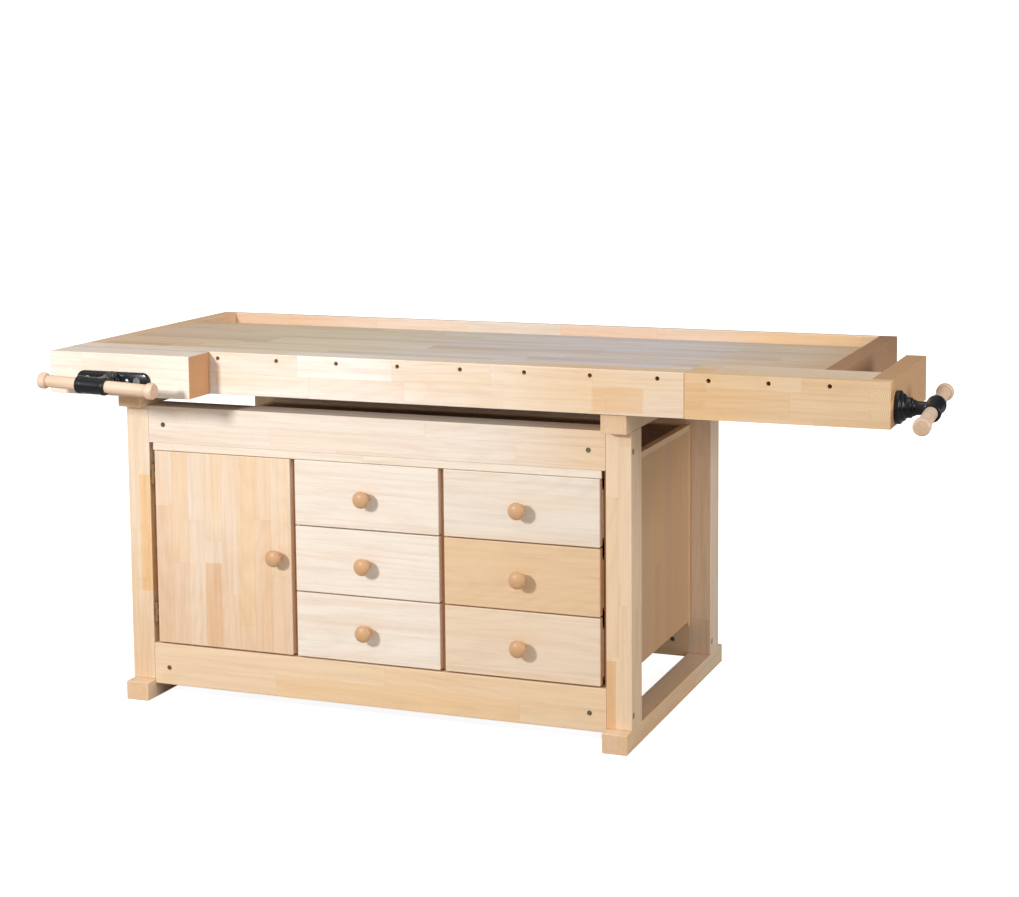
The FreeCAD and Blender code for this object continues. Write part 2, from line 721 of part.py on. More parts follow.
def make_tail_jaw():
    """The L-shaped jaw of the tail vise: box-jointed front, end block, end plate and lid."""
    left_end = (JAW_LEFT, JAW_LEFT + " + tail_block")
    right_end = (PLATE_LEFT, "tail_right")
    tall = (SKIRT, "bench_height")
    wall = new_body("tail_jaw_front")
    box(wall, "+", (JAW_LEFT, "tail_right"), (APRON_FRONT, WALL_BACK), tall)
    doc.recompute()
    for span in (left_end, right_end):
        cut_fingers(wall, span, 1)
    doc.recompute()
    hole = rod(wall, "-", "y", ("jaw_peg_start", APRON_FRONT, "bench_height - peg_drop"),
               "peg_radius", "jaw_peg_depth")
    doc.recompute()
    repeat_along_x(wall, hole, "jaw_peg_pitch", JAW_PEG_HOLES)

    block = new_body("tail_jaw_block")
    box(block, "+", left_end, (APRON_FRONT, JAW_BACK), tall)
    cut_fingers(block, left_end, 0)

    plate = new_body("tail_end_plate")
    box(plate, "+", right_end, (APRON_FRONT, APRON_FRONT + " + end_plate_length"), tall)
    cut_fingers(plate, right_end, 0)
    rod(plate, "-", "x", (PLATE_LEFT, TAIL_AXIS, "vise_axis_height"), "screw_radius + fit_gap",
        "end_plate")
    for inset in ("tail_bar_near", "tail_bar_far"):
        start = (PLATE_LEFT, FRONT + " + " + inset, "tail_bar_height")
        rod(plate, "-", "x", start, "bar_radius + running_fit", "end_plate - bar_cover")

    board("tail_jaw_top", (left_end[1], PLATE_LEFT), (WALL_BACK, JAW_BACK),
          ("bench_height - tail_lid", "bench_height"), "small_round")


def make_tail_metal():
    """The tail vise's collar, screw, handle, guide bars and the nut on the bench's side."""
    collar = new_body("tail_collar")
    axis = (TAIL_AXIS, "vise_axis_height")
    depth = "(collar_thickness + collar_step + collar_boss)"
    rod(collar, "+", "x", ("tail_right",) + axis, "collar_radius", "collar_thickness")
    soften(collar)
    rod(collar, "+", "x", ("tail_right",) + axis, "collar_step_radius",
        "collar_thickness + collar_step")
    rod(collar, "+", "x", ("tail_right",) + axis, "screw_radius + boss_wall", depth)
    rod(collar, "-", "x", ("tail_right - overrun",) + axis, "screw_radius + fit_gap",
        depth + " + 2*overrun")

    screw = new_body("tail_screw")
    hub_x = "(tail_right + tail_hub_reach)"
    rod(screw, "+", "x", ("tail_screw_left",) + axis, "screw_radius", hub_x + " - tail_screw_left")
    neck = "(tail_right + " + depth + " + fit_gap)"
    rod(screw, "+", "x", (neck,) + axis, "neck_radius", hub_x + " - " + neck)
    hub = (hub_x, TAIL_AXIS + " - hub_length/2", "vise_axis_height")
    rod(screw, "+", "y", hub, "hub_radius", "hub_length")
    through = (hub_x, TAIL_AXIS + " - hub_length/2 - overrun", "vise_axis_height")
    rod(screw, "-", "y", through, "handle_radius + fit_gap", "hub_length + 2*overrun")
    handle = make_handle("tail_handle", "y", (hub_x,) + axis)
    for item in (screw, handle):
        stand(item, ("1", "0", "0"), "tail_tilt", ("0",) + axis)

    bars = [loose_rod("x", ("tail_bar_left", FRONT + " + " + inset, "tail_bar_height"),
                      "bar_radius", "tail_right - bar_cover - tail_bar_left")
            for inset in ("tail_bar_near", "tail_bar_far")]
    group("tail_guide_bars", bars)

    nut = new_body("tail_vise_nut")
    side = JAW_BACK + " + fit_gap"
    span = ("tail_nut_left", "tail_nut_left + nut_block")
    box(nut, "+", span, (TAIL_AXIS + " - tail_nut_reach", side),
        ("vise_axis_height - tail_nut_reach", "bench_height - tail_lid - lid_gap"))
    soften(nut)
    rod(nut, "-", "x", ("tail_nut_left",) + axis, "screw_radius + running_fit", "nut_block")


def check_and_write():
    """Stops on any failed object or bad shape, then writes each sub-part to its STEP file."""
    doc.recompute()
    for item in doc.Objects:
        if "Invalid" in item.State or "Error" in item.State:
            raise RuntimeError("%s (%s) failed: %s" % (item.Name, item.Label, item.State))
    os.makedirs("parts", exist_ok=True)
    for item in subparts:
        shape = item.Shape
        if shape.isNull() or not shape.isValid() or not shape.Solids:
            raise RuntimeError("%s has a bad shape" % item.Label)
        shape.exportStep("parts/%s.step" % item.Label)
    print(len(subparts), "nodes written")


make_end_frames()
make_rails()
make_fittings()
make_top()
make_carcass()
make_drawers()
make_runners()
make_post_hinges(make_door())
make_front_vise()
make_tail_jaw()
make_tail_metal()
check_and_write()
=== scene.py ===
"""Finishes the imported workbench: wood, turnings, vise ironwork, fittings and a studio."""

import math

import bpy
import numpy as np
from bpy.props import FloatProperty, FloatVectorProperty, IntProperty, PointerProperty
from mathutils import Matrix, Vector


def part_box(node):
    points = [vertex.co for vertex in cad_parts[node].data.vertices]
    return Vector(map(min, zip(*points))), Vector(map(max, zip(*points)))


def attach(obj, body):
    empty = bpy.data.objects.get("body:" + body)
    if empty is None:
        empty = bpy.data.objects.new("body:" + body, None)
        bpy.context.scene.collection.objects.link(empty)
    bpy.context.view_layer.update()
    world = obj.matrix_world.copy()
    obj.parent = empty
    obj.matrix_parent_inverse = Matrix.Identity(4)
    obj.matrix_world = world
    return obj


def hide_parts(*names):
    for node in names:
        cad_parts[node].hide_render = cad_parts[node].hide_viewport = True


bl_info = {
    "name": "Workbench Finisher",
    "version": (1, 0, 0),
    "blender": (4, 5, 0),
    "location": "View3D > Sidebar > Workbench",
    "description": "Wood, turnings, ironwork and studio for a joiner's bench with two vises",
    "category": "Object",
}

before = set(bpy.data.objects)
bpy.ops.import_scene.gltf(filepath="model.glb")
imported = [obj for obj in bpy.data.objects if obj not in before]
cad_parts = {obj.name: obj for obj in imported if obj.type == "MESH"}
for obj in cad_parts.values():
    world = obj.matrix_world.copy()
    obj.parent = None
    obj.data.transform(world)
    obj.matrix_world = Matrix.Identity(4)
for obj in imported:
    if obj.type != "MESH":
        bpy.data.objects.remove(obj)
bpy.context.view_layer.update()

AXES = {"x": 0, "y": 1, "z": 2}
DRAWERS = ["drawer_%s_%d" % (column, level) for column in ("left", "right") for level in (1, 2, 3)]
VISES = {
    "front": dict(axis="y", hub_axis="x", out=-1.0, casting="front_vise_plate",
                  tilt_axis="Y", tilt=2.5),
    "tail": dict(axis="x", hub_axis="y", out=1.0, casting="tail_collar",
                 tilt_axis="X", tilt=6.0),
}
SCREW_RADIUS = 0.013
NECK_RADIUS = 0.018
HUB_RADIUS = 0.021
HUB_LENGTH = 0.076
HUB_BORE = 0.0148
HANDLE_LENGTH = 0.304
HANDLE_END_RADIUS = 0.019
HANDLE_BAR_RADIUS = 0.0145
PLATE_WIDTH = 0.196
PLATE_HEIGHT = 0.040
PLATE_THICKNESS = 0.008
CASTING_BORE = 0.0134
GLUE_LINE = 0.0012
WOOD_RELIEF = 0.00012
IRON_RELIEF = 0.00018
STEEL_RELIEF = 0.00003
PLATE_SCREWS = (-0.039, 0.039)
EVERYWHERE = (-9.0, 9.0)
FLOOR_HALF_WIDTH = 60.0


def middle_of(node):
    """The centre of a node's box."""
    low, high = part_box(node)
    return (low + high) / 2


# ---------------------------------------------------------------- settings

def tint(name, description, default):
    """A colour property in scene linear values."""
    return FloatVectorProperty(name=name, description=description, default=default, size=3,
                               min=0.0, max=1.0, subtype="COLOR")


def size_of(name, description, default):
    """A length property in metres."""
    return FloatProperty(name=name, description=description, default=default, unit="LENGTH",
                         precision=4)


def angle_of(name, description, default):
    """An angle property."""
    return FloatProperty(name=name, description=description, default=default, unit="ROTATION")


def number_of(name, description, default):
    """A plain number."""
    return FloatProperty(name=name, description=description, default=default)


def share(name, description, default):
    """A share from 0 to 1."""
    return FloatProperty(name=name, description=description, default=default, min=0.0, max=1.0,
                         subtype="FACTOR")


class BenchWoodSettings(bpy.types.PropertyGroup):
    """Colours and grain of the bench's woods."""

    pale: tint("Pale", "The lightest staves", (0.89, 0.80, 0.69))
    honey: tint("Honey", "The warmer staves", (0.83, 0.53, 0.25))
    rose: tint("Rose", "The pinker staves", (0.82, 0.60, 0.45))
    grain_line: tint("Grain line", "Late wood in the growth rings", (0.52, 0.29, 0.13))
    end_grain: tint("End grain", "Boards' sawn ends", (0.74, 0.40, 0.18))
    worn_top: tint("Worn top", "The greyed working surface", (0.76, 0.62, 0.47))
    brown: tint("Brown", "The browner boards of the cupboard's sides", (0.66, 0.37, 0.20))
    # painted shade: dark brown for the inner boards, standing in for the shade inside the cupboard
    shaded: tint("Shaded", "The bare inner boards", (0.30, 0.15, 0.07))
    turned: tint("Turned", "Knobs", (0.62, 0.37, 0.195))
    handle: tint("Handle", "The vises' sliding handles", (0.84, 0.62, 0.46))
    # painted shade: the lining's dark brown stands in for the jaw's shadow on the apron beside it
    lining: tint("Lining", "The jaw's lining", (0.40, 0.20, 0.09))
    figure: share("Figure", "How strongly the growth rings show", 0.12)
    fibre: share("Fibre", "How strongly the fibres show", 0.30)
    streak: share("Streak", "How strongly a board's tone runs in streaks", 0.55)
    edge_width: size_of("Edge width", "How far the handled edges are rubbed", 0.0035)


class BenchIronSettings(bpy.types.PropertyGroup):
    """Sizes and colours of the vises' ironwork."""

    black: tint("Black", "Blackened castings", (0.0035, 0.0035, 0.0045))
    steel: tint("Steel", "Bright steel", (0.55, 0.56, 0.58))
    thread_pitch: size_of("Thread pitch", "One turn of the vise screws", 0.006)
    thread_depth: size_of("Thread depth", "From crest to root", 0.0022)
    rim: size_of("Rim", "Rounded rims of the hubs and collars", 0.0022)
    screw_head: size_of("Screw head", "Radius of the plate's wood screws", 0.0055)


class BenchTurningSettings(bpy.types.PropertyGroup):
    """How finely the round pieces are made."""

    around: IntProperty(name="Around", description="Steps round a turned piece", default=56, min=12)
    along: IntProperty(name="Along", description="Steps along a turned profile", default=64, min=12)


class BenchStudioSettings(bpy.types.PropertyGroup):
    """Camera, lights and floor."""

    eye: FloatVectorProperty(name="Eye", description="Where the camera stands", size=3,
                             default=(1.72285, -4.50876, 1.49586), unit="LENGTH")
    turn: angle_of("Turn", "Camera turned to the left of the back", 0.36902)
    dip: angle_of("Dip", "Camera tipped down", 0.10982)
    roll: angle_of("Roll", "Camera rolled", 0.00871)
    lens: number_of("Lens", "Focal length in millimetres", 72.726)
    shift: number_of("Shift", "Upright shift of the view", -0.14)
    key_power: number_of("Key", "Main light in watts", 61.0)
    over_power: number_of("Overhead", "Light from above in watts", 17.0)
    side_power: number_of("Side", "Light on the right side in watts", 96.0)
    sky: number_of("Sky", "Light from all round", 0.60)
    floor_lift: number_of("Floor lift", "Glow of the white floor", 0.90)


SETTINGS = {"bench_wood": BenchWoodSettings, "bench_iron": BenchIronSettings,
            "bench_turning": BenchTurningSettings, "bench_studio": BenchStudioSettings}


# ---------------------------------------------------------------- shader building

class Wiring:
    """Adds nodes to a tree and links them, so that a material reads as a list of steps."""

    def __init__(self, tree):
        self.tree = tree

    def add(self, kind, values=None, **settings):
        """A node with its settings, and its inputs given as numbers or as other outputs."""
        node = self.tree.nodes.new(kind)
        for name, value in settings.items():
            setattr(node, name, value)
        for key, value in (values or {}).items():
            if isinstance(value, bpy.types.NodeSocket):
                self.link(value, node.inputs[key])
            else:
                node.inputs[key].default_value = value
        return node

    def math(self, operation, first, second=0.0, third=0.0, clamp=False):
        """A number worked out from up to three others."""
        values = {0: first, 1: second, 2: third}
        node = self.add("ShaderNodeMath", values, operation=operation, use_clamp=clamp)
        return node.outputs[0]

    def vector(self, operation, first, second):
        """A vector worked out from two others."""
        return self.add("ShaderNodeVectorMath", {0: first, 1: second}, operation=operation)

    def split(self, vector):
        """The three parts of a vector."""
        return self.add("ShaderNodeSeparateXYZ", {0: vector}).outputs

    def join(self, x, y, z):
        """A vector made of three numbers."""
        return self.add("ShaderNodeCombineXYZ", {0: x, 1: y, 2: z}).outputs[0]

    def noise(self, vector, stretch, detail, roughness=0.5):
        """Noise of a scaled vector, from 0 to 1."""
        scaled = self.vector("MULTIPLY", vector, stretch).outputs[0]
        values = {"Vector": scaled, "Scale": 1.0, "Detail": detail, "Roughness": roughness}
        return self.add("ShaderNodeTexNoise", values).outputs["Fac"]

    def smooth(self, value, low, high, to_low=0.0, to_high=1.0):
        """A value eased from one range to another."""
        values = {0: value, 1: low, 2: high, 3: to_low, 4: to_high}
        node = self.add("ShaderNodeMapRange", values, interpolation_type="SMOOTHSTEP")
        return node.outputs[0]

    def mix(self, factor, first, second, blend="MIX"):
        """Two colours mixed."""
        values = {0: factor, 6: first, 7: second}
        node = self.add("ShaderNodeMix", values, data_type="RGBA", blend_type=blend)
        return node.outputs[2]

    def link(self, value, socket):
        """One output led into an input."""
        self.tree.links.new(value, socket)

    def plus(self, first, second):
        """The sum of two numbers."""
        return self.math("ADD", first, second)

    def minus(self, first, second):
        """The first number less the second."""
        return self.math("SUBTRACT", first, second)

    def times(self, first, second):
        """The product of two numbers."""
        return self.math("MULTIPLY", first, second)

    def depth_inside(self, vector, low, high):
        """How far a point lies inside a box, along X, Y and Z."""
        from_low = self.vector("SUBTRACT", vector, low).outputs[0]
        from_high = self.vector("SUBTRACT", high, vector).outputs[0]
        return self.split(self.vector("MINIMUM", from_low, from_high).outputs[0])[:3]


def group_tree(name, inputs, outputs):
    """A shader node group with its named sockets, and the wiring to fill it."""
    tree = bpy.data.node_groups.new(name, "ShaderNodeTree")
    for label, kind in inputs:
        tree.interface.new_socket(label, in_out="INPUT", socket_type="NodeSocket" + kind)
    for label, kind in outputs:
        tree.interface.new_socket(label, in_out="OUTPUT", socket_type="NodeSocket" + kind)
    wiring = Wiring(tree)
    entry = wiring.add("NodeGroupInput")
    leave = wiring.add("NodeGroupOutput")
    return wiring, entry.outputs, leave.inputs


def colour4(colour):
    """A colour with its alpha."""
    return (*tuple(colour)[:3], 1.0)


def staved_wood():
    """Edge-glued, finger-jointed wood: staves of random tone, each with its own grain.

    A stave's number is the whole part of Y over the stave width, and a block's number is the
    whole part of X over the block length, shifted at random from stave to stave. White noise of
    both gives the block's tone and moves its grain. Growth rings are the sine of a smooth noise
    stretched along X, streaks and fibres are noise stretched further, and a glue line is dark
    where the fraction of Y over the stave width is near 0 or 1. On a sawn end the rings are the
    sine of the distance from a random heart near the board's centre.
    """
    inputs = [("Vector", "Vector"), ("Centre", "Vector"), ("End Grain", "Float"), ("Pale", "Color"),
              ("Warm", "Color"), ("Rose", "Color"), ("Line", "Color"), ("End Color", "Color"),
              ("Stave Width", "Float"), ("Block Length", "Float"), ("Spread", "Float"),
              ("Figure", "Float"), ("Fibre", "Float"), ("Streak", "Float"), ("Dullness", "Float"),
              ("Seed", "Float")]
    outputs = [("Color", "Color"), ("Roughness", "Float"), ("Height", "Float")]
    wiring, given, leave = group_tree("staved_wood", inputs, outputs)
    along, across = wiring.split(given["Vector"])[:2]
    stave_place = wiring.math("DIVIDE", across, given["Stave Width"])
    stave = wiring.math("FLOOR", stave_place)
    stave_draw = wiring.add("ShaderNodeTexWhiteNoise",
                            {"Vector": wiring.join(stave, given["Seed"], 3.7)})
    slip = wiring.times(stave_draw.outputs["Value"], 7.3)
    block_place = wiring.plus(wiring.math("DIVIDE", along, given["Block Length"]), slip)
    block = wiring.math("FLOOR", block_place)
    draw = wiring.add("ShaderNodeTexWhiteNoise",
                      {"Vector": wiring.join(stave, block, given["Seed"])})
    moved = wiring.vector("MULTIPLY", draw.outputs["Color"], (5.0, 5.0, 5.0)).outputs[0]
    place = wiring.vector("ADD", given["Vector"], moved).outputs[0]

    swell = wiring.noise(place, (0.8, 6.5, 6.5), 0.6)
    waves = wiring.math("SINE", wiring.times(swell, 150.0))
    rings = wiring.smooth(waves, -0.2, 1.0)
    fibres = wiring.noise(place, (3.0, 95.0, 95.0), 3.0, 0.62)
    hairs = wiring.noise(place, (14.0, 480.0, 480.0), 2.0, 0.6)
    pores = wiring.smooth(wiring.noise(place, (38.0, 950.0, 950.0), 1.0), 0.60, 0.72)
    cloud = wiring.noise(place, (2.2, 9.0, 9.0), 2.0)
    streaks = wiring.noise(place, (1.1, 30.0, 30.0), 3.0, 0.6)

    tone = wiring.times(draw.outputs["Value"], given["Spread"])
    clouded = wiring.math("MULTIPLY_ADD", wiring.minus(cloud, 0.5), 0.7, tone)
    streaked = wiring.math("MULTIPLY_ADD", wiring.minus(streaks, 0.5), given["Streak"],
                           clouded)
    base = wiring.mix(wiring.math("ADD", streaked, 0.02, clamp=True), given["Pale"], given["Warm"])
    hue = wiring.smooth(wiring.split(draw.outputs["Color"])[1], 0.45, 0.95)
    rosy = wiring.math("MULTIPLY", wiring.times(hue, given["Spread"]), 0.8, clamp=True)
    base = wiring.mix(rosy, base, given["Rose"])

    ringed = wiring.times(rings, given["Figure"])
    fibrous = wiring.times(wiring.smooth(fibres, 0.42, 0.72), given["Fibre"])
    fine = wiring.times(wiring.smooth(hairs, 0.45, 0.75), 0.14)
    dots = wiring.times(pores, 0.26)
    seam = glue_line(wiring, stave_place, given["Stave Width"], 0.24)
    butt = glue_line(wiring, block_place, given["Block Length"], 0.30)
    dark = ringed
    for part in (fibrous, fine, dots, seam, butt):
        dark = wiring.plus(dark, part)
    shade = wiring.math("MULTIPLY", dark, 0.55, clamp=True)
    side = wiring.mix(shade, base, given["Line"])

    drawn = wiring.vector("SUBTRACT", draw.outputs["Color"], (0.5, 0.5, 0.5)).outputs[0]
    heart = wiring.vector("MULTIPLY", drawn, (0.0, 0.16, 0.16))
    offset = wiring.vector("SUBTRACT", given["Vector"], given["Centre"]).outputs[0]
    radial = wiring.vector("ADD", offset, heart.outputs[0]).outputs[0]
    flat = wiring.vector("MULTIPLY", radial, (0.0, 1.0, 1.0)).outputs[0]
    wobble = wiring.times(wiring.noise(flat, (1.0, 30.0, 30.0), 2.0), 0.006)
    distance = wiring.plus(wiring.vector("LENGTH", flat, flat).outputs["Value"], wobble)
    year = wiring.smooth(wiring.math("SINE", wiring.times(distance, 1400.0)), -0.3, 1.0)
    sawn = wiring.mix(wiring.times(year, 0.45), given["End Color"], given["Line"])
    ended = wiring.mix(0.12, sawn, base)
    wiring.link(wiring.mix(given["End Grain"], side, ended), leave["Color"])

    rough = wiring.math("MULTIPLY_ADD", fibres, 0.16, given["Dullness"])
    rougher = wiring.math("MULTIPLY_ADD", given["End Grain"], 0.12, rough)
    wiring.link(rougher, leave["Roughness"])
    low = wiring.plus(wiring.times(hairs, 0.5), wiring.times(pores, 0.4))
    lower = wiring.plus(low, wiring.times(seam, 1.6))
    wiring.link(wiring.minus(1.0, lower), leave["Height"])
    return wiring.tree


def glue_line(wiring, place, size, strength):
    """A dark line wherever a cell ends: the cell's fraction is near 0 or 1."""
    side = wiring.math("ABSOLUTE", wiring.minus(wiring.math("FRACT", place), 0.5))
    start = wiring.minus(0.5, wiring.math("DIVIDE", GLUE_LINE / 2, size))
    return wiring.times(wiring.math("GREATER_THAN", side, start), strength)


def block_mask():
    """One block of another tone, of painted shade or of painted highlight: 1 where X, Y and Z all
    lie between the low and high corners.

    The soft width eases each side, and a little noise along the grain keeps the ends uneven.
    """
    inputs = [("Vector", "Vector"), ("Low", "Vector"), ("High", "Vector"), ("Soft", "Float")]
    wiring, given, leave = group_tree("block_mask", inputs, [("Mask", "Float")])
    x, y, z = wiring.depth_inside(given["Vector"], given["Low"], given["High"])
    inside = wiring.math("MINIMUM", wiring.math("MINIMUM", x, y), z)
    uneven = wiring.minus(wiring.noise(given["Vector"], (16.0, 16.0, 16.0), 2.0), 0.5)
    shifted = wiring.math("MULTIPLY_ADD", uneven, wiring.times(given["Soft"], 2.0), inside)
    eased = wiring.math("DIVIDE", shifted, given["Soft"])
    wiring.link(wiring.math("ADD", eased, 0.5, clamp=True), leave["Mask"])
    return wiring.tree


def edge_rub():
    """Where hands and work rub a board's edges.

    Of the distances from a point to the board's nearest sides along X, Y and Z, the smallest is
    the face that the point lies on and the second smallest is how far the nearest edge is. The
    mask falls from 1 at the edge to 0 at the given width, broken up by noise.
    """
    inputs = [("Vector", "Vector"), ("Low", "Vector"), ("High", "Vector"), ("Width", "Float")]
    wiring, given, leave = group_tree("edge_rub", inputs, [("Mask", "Float")])
    x, y, z = wiring.depth_inside(given["Vector"], given["Low"], given["High"])
    near = wiring.math("MINIMUM", wiring.math("MAXIMUM", x, y), z)
    edge = wiring.math("MAXIMUM", wiring.math("MINIMUM", x, y), near)
    patchy = wiring.noise(given["Vector"], (22.0, 22.0, 22.0), 3.0, 0.6)
    reach = wiring.times(given["Width"], wiring.times(patchy, 2.0))
    mask = wiring.math("SUBTRACT", 1.0, wiring.math("DIVIDE", edge, reach), clamp=True)
    wiring.link(mask, leave["Mask"])
    return wiring.tree


def cast_skin():
    """The skin of a casting: fine pits, slow patches of oil, and a sheen where it is rubbed."""
    inputs = [("Vector", "Vector"), ("Dark", "Color"), ("Rubbed", "Color"), ("Grit", "Float")]
    outputs = [("Color", "Color"), ("Roughness", "Float"), ("Height", "Float")]
    wiring, given, leave = group_tree("cast_skin", inputs, outputs)
    grit = wiring.noise(given["Vector"], (700.0, 700.0, 700.0), 3.0, 0.65)
    patch = wiring.noise(given["Vector"], (26.0, 26.0, 26.0), 3.0, 0.55)
    rubbed = wiring.times(wiring.smooth(patch, 0.52, 0.78), 0.5)
    wiring.link(wiring.mix(rubbed, given["Dark"], given["Rubbed"]), leave["Color"])
    rough = wiring.math("MULTIPLY_ADD", patch, -0.22, 0.42)
    wiring.link(wiring.math("MULTIPLY_ADD", grit, 0.12, rough), leave["Roughness"])
    wiring.link(wiring.times(grit, given["Grit"]), leave["Height"])
    return wiring.tree


def brushed_lines():
    """Fine lines round a turned steel piece: noise that changes fast along one axis only."""
    inputs = [("Vector", "Vector"), ("Steel", "Color")]
    outputs = [("Color", "Color"), ("Roughness", "Float"), ("Height", "Float")]
    wiring, given, leave = group_tree("brushed_lines", inputs, outputs)
    lines = wiring.noise(given["Vector"], (30.0, 2600.0, 30.0), 2.0, 0.6)
    stain = wiring.noise(given["Vector"], (40.0, 40.0, 40.0), 3.0, 0.6)
    dull = wiring.times(wiring.smooth(stain, 0.5, 0.8), 0.45)
    wiring.link(wiring.mix(dull, given["Steel"], (0.20, 0.17, 0.14, 1.0)), leave["Color"])
    rough = wiring.math("MULTIPLY_ADD", lines, 0.22, 0.22)
    wiring.link(wiring.plus(rough, wiring.times(dull, 0.4)), leave["Roughness"])
    wiring.link(lines, leave["Height"])
    return wiring.tree


def shared_group(maker):
    """The node group that a maker builds, built only once."""
    return bpy.data.node_groups.get(maker.__name__) or maker()


def new_material(name):
    """An empty node material with a Principled shader, and its wiring."""
    material = bpy.data.materials.new(name)
    material.use_nodes = True
    wiring = Wiring(material.node_tree)
    shader = material.node_tree.nodes["Principled BSDF"]
    return material, wiring, shader


def place_group(wiring, maker, values):
    """A shared group placed in a material, with its inputs given as numbers or as other outputs."""
    return wiring.add("ShaderNodeGroup", values, node_tree=shared_group(maker))


def dress(wiring, shader, colour, group, depth, constants):
    """Leads a colour, and a group's roughness and height, into the shader, and sets the rest."""
    wiring.link(colour, shader.inputs["Base Color"])
    wiring.link(group.outputs["Roughness"], shader.inputs["Roughness"])
    bump = wiring.add("ShaderNodeBump", {"Height": group.outputs["Height"], "Distance": depth,
                                         "Strength": 1.0})
    wiring.link(bump.outputs["Normal"], shader.inputs["Normal"])
    for socket, value in constants.items():
        shader.inputs[socket].default_value = value


def wood_material(name, grain, staves, stave_width, block_length, pale, warm, spread=0.8,
                  seed=0.0, box=None, drift=(), figure=None, shine=0.12, shift=0.0, ends=1.0,
                  blocks=(), rose=None, streak=None, dullness=0.42, end_tone=None):
    """Wood whose grain runs along one axis and whose staves lie side by side along another.

    Object coordinates are put in the order grain, staves, thickness. drift is a row
    of (X, colour): the pale tone turns from one colour into the next along the bench, partly the
    wood's own tone and partly painted light, mostly paler towards the lamp-lit left end. blocks
    are (low corner, high corner, colour, strength, soft width): single blocks of another tone,
    of painted shade or of painted highlight.
    """
    wood = bpy.context.scene.bench_wood
    material, wiring, shader = new_material(name)
    coordinates = wiring.add("ShaderNodeTexCoord")
    parts = wiring.split(coordinates.outputs["Object"])
    third = ({"x", "y", "z"} - {grain, staves}).pop()
    order = [AXES[grain], AXES[staves], AXES[third]]
    across = wiring.plus(parts[order[1]], shift)
    place = wiring.join(parts[order[0]], across, parts[order[2]])
    middle = (Vector(box[0]) + Vector(box[1])) / 2 if box else Vector((0.0, 0.0, 0.0))
    centre = Vector([middle[index] for index in order]) + Vector((0.0, shift, 0.0))
    direction = [0.0, 0.0, 0.0]
    direction[AXES[grain]] = 1.0
    facing = wiring.vector("DOT_PRODUCT", coordinates.outputs["Normal"], direction).outputs["Value"]
    sawn = wiring.smooth(wiring.math("ABSOLUTE", facing), 0.6, 0.9, 0.0, ends)
    # the drift along X is partly wood tone and partly painted light that fades away from the lit
    # left end
    base = colour4(drift[0][1] if drift else pale)
    for (start, _), (stop, colour) in zip(drift, drift[1:]):
        base = wiring.mix(wiring.smooth(parts[0], start, stop), base, colour4(colour))
    values = {"Vector": place, "Centre": centre, "End Grain": sawn, "Pale": base,
              "Warm": colour4(warm), "Rose": colour4(rose or wood.rose),
              "Line": colour4(wood.grain_line), "End Color": colour4(end_tone or wood.end_grain),
              "Stave Width": stave_width, "Block Length": block_length, "Spread": spread,
              "Figure": wood.figure if figure is None else figure, "Fibre": wood.fibre,
              "Streak": wood.streak if streak is None else streak, "Dullness": dullness,
              "Seed": seed}
    group = place_group(wiring, staved_wood, values)
    colour = group.outputs["Color"]
    # the blocks tint the wood with other tones, with painted shade and with painted highlight
    for low, high, tone, strength, soft in blocks:
        values = {"Vector": coordinates.outputs["Object"], "Low": low, "High": high, "Soft": soft}
        mask = place_group(wiring, block_mask, values).outputs["Mask"]
        tone_and_light_tint = wiring.mix(1.0, colour, colour4(tone), "MULTIPLY")
        colour = wiring.mix(wiring.times(mask, strength), colour, tone_and_light_tint)
    if box:
        values = {"Vector": coordinates.outputs["Object"], "Low": box[0], "High": box[1],
                  "Width": wood.edge_width}
        rub = place_group(wiring, edge_rub, values)
        rubbed = wiring.times(rub.outputs["Mask"], 0.25)
        colour = wiring.mix(rubbed, colour, colour4(Vector(pale) * 0.98))
    dress(wiring, shader, colour, group, WOOD_RELIEF,
          {"Specular IOR Level": 0.3, "Coat Weight": shine, "Coat Roughness": 0.32})
    return material


def metal_material(name, maker, values, depth, constants):
    """A material that is one shared group on Object coordinates."""
    material, wiring, shader = new_material(name)
    place = wiring.add("ShaderNodeTexCoord").outputs["Object"]
    group = place_group(wiring, maker, {"Vector": place, **values})
    dress(wiring, shader, group.outputs["Color"], group, depth, constants)
    return material


def iron_material(name):
    """Blackened cast iron with an oily skin."""
    black = Vector(bpy.context.scene.bench_iron.black)
    values = {"Dark": colour4(black), "Rubbed": colour4(black * 2.6), "Grit": 1.0}
    constants = {"Coat Weight": 0.45, "Coat Roughness": 0.12, "Coat Tint": (0.75, 0.86, 1.0, 1.0),
                 "Specular IOR Level": 0.25}
    return metal_material(name, cast_skin, values, IRON_RELIEF, constants)


def steel_material(name, colour):
    """Bright turned steel or brass with fine lines and stains."""
    return metal_material(name, brushed_lines, {"Steel": colour4(colour)}, STEEL_RELIEF,
                          {"Metallic": 1.0})


def give_material(piece, material):
    """The piece shows this material alone."""
    piece.data.materials.clear()
    piece.data.materials.append(material)


# ---------------------------------------------------------------- surfaces

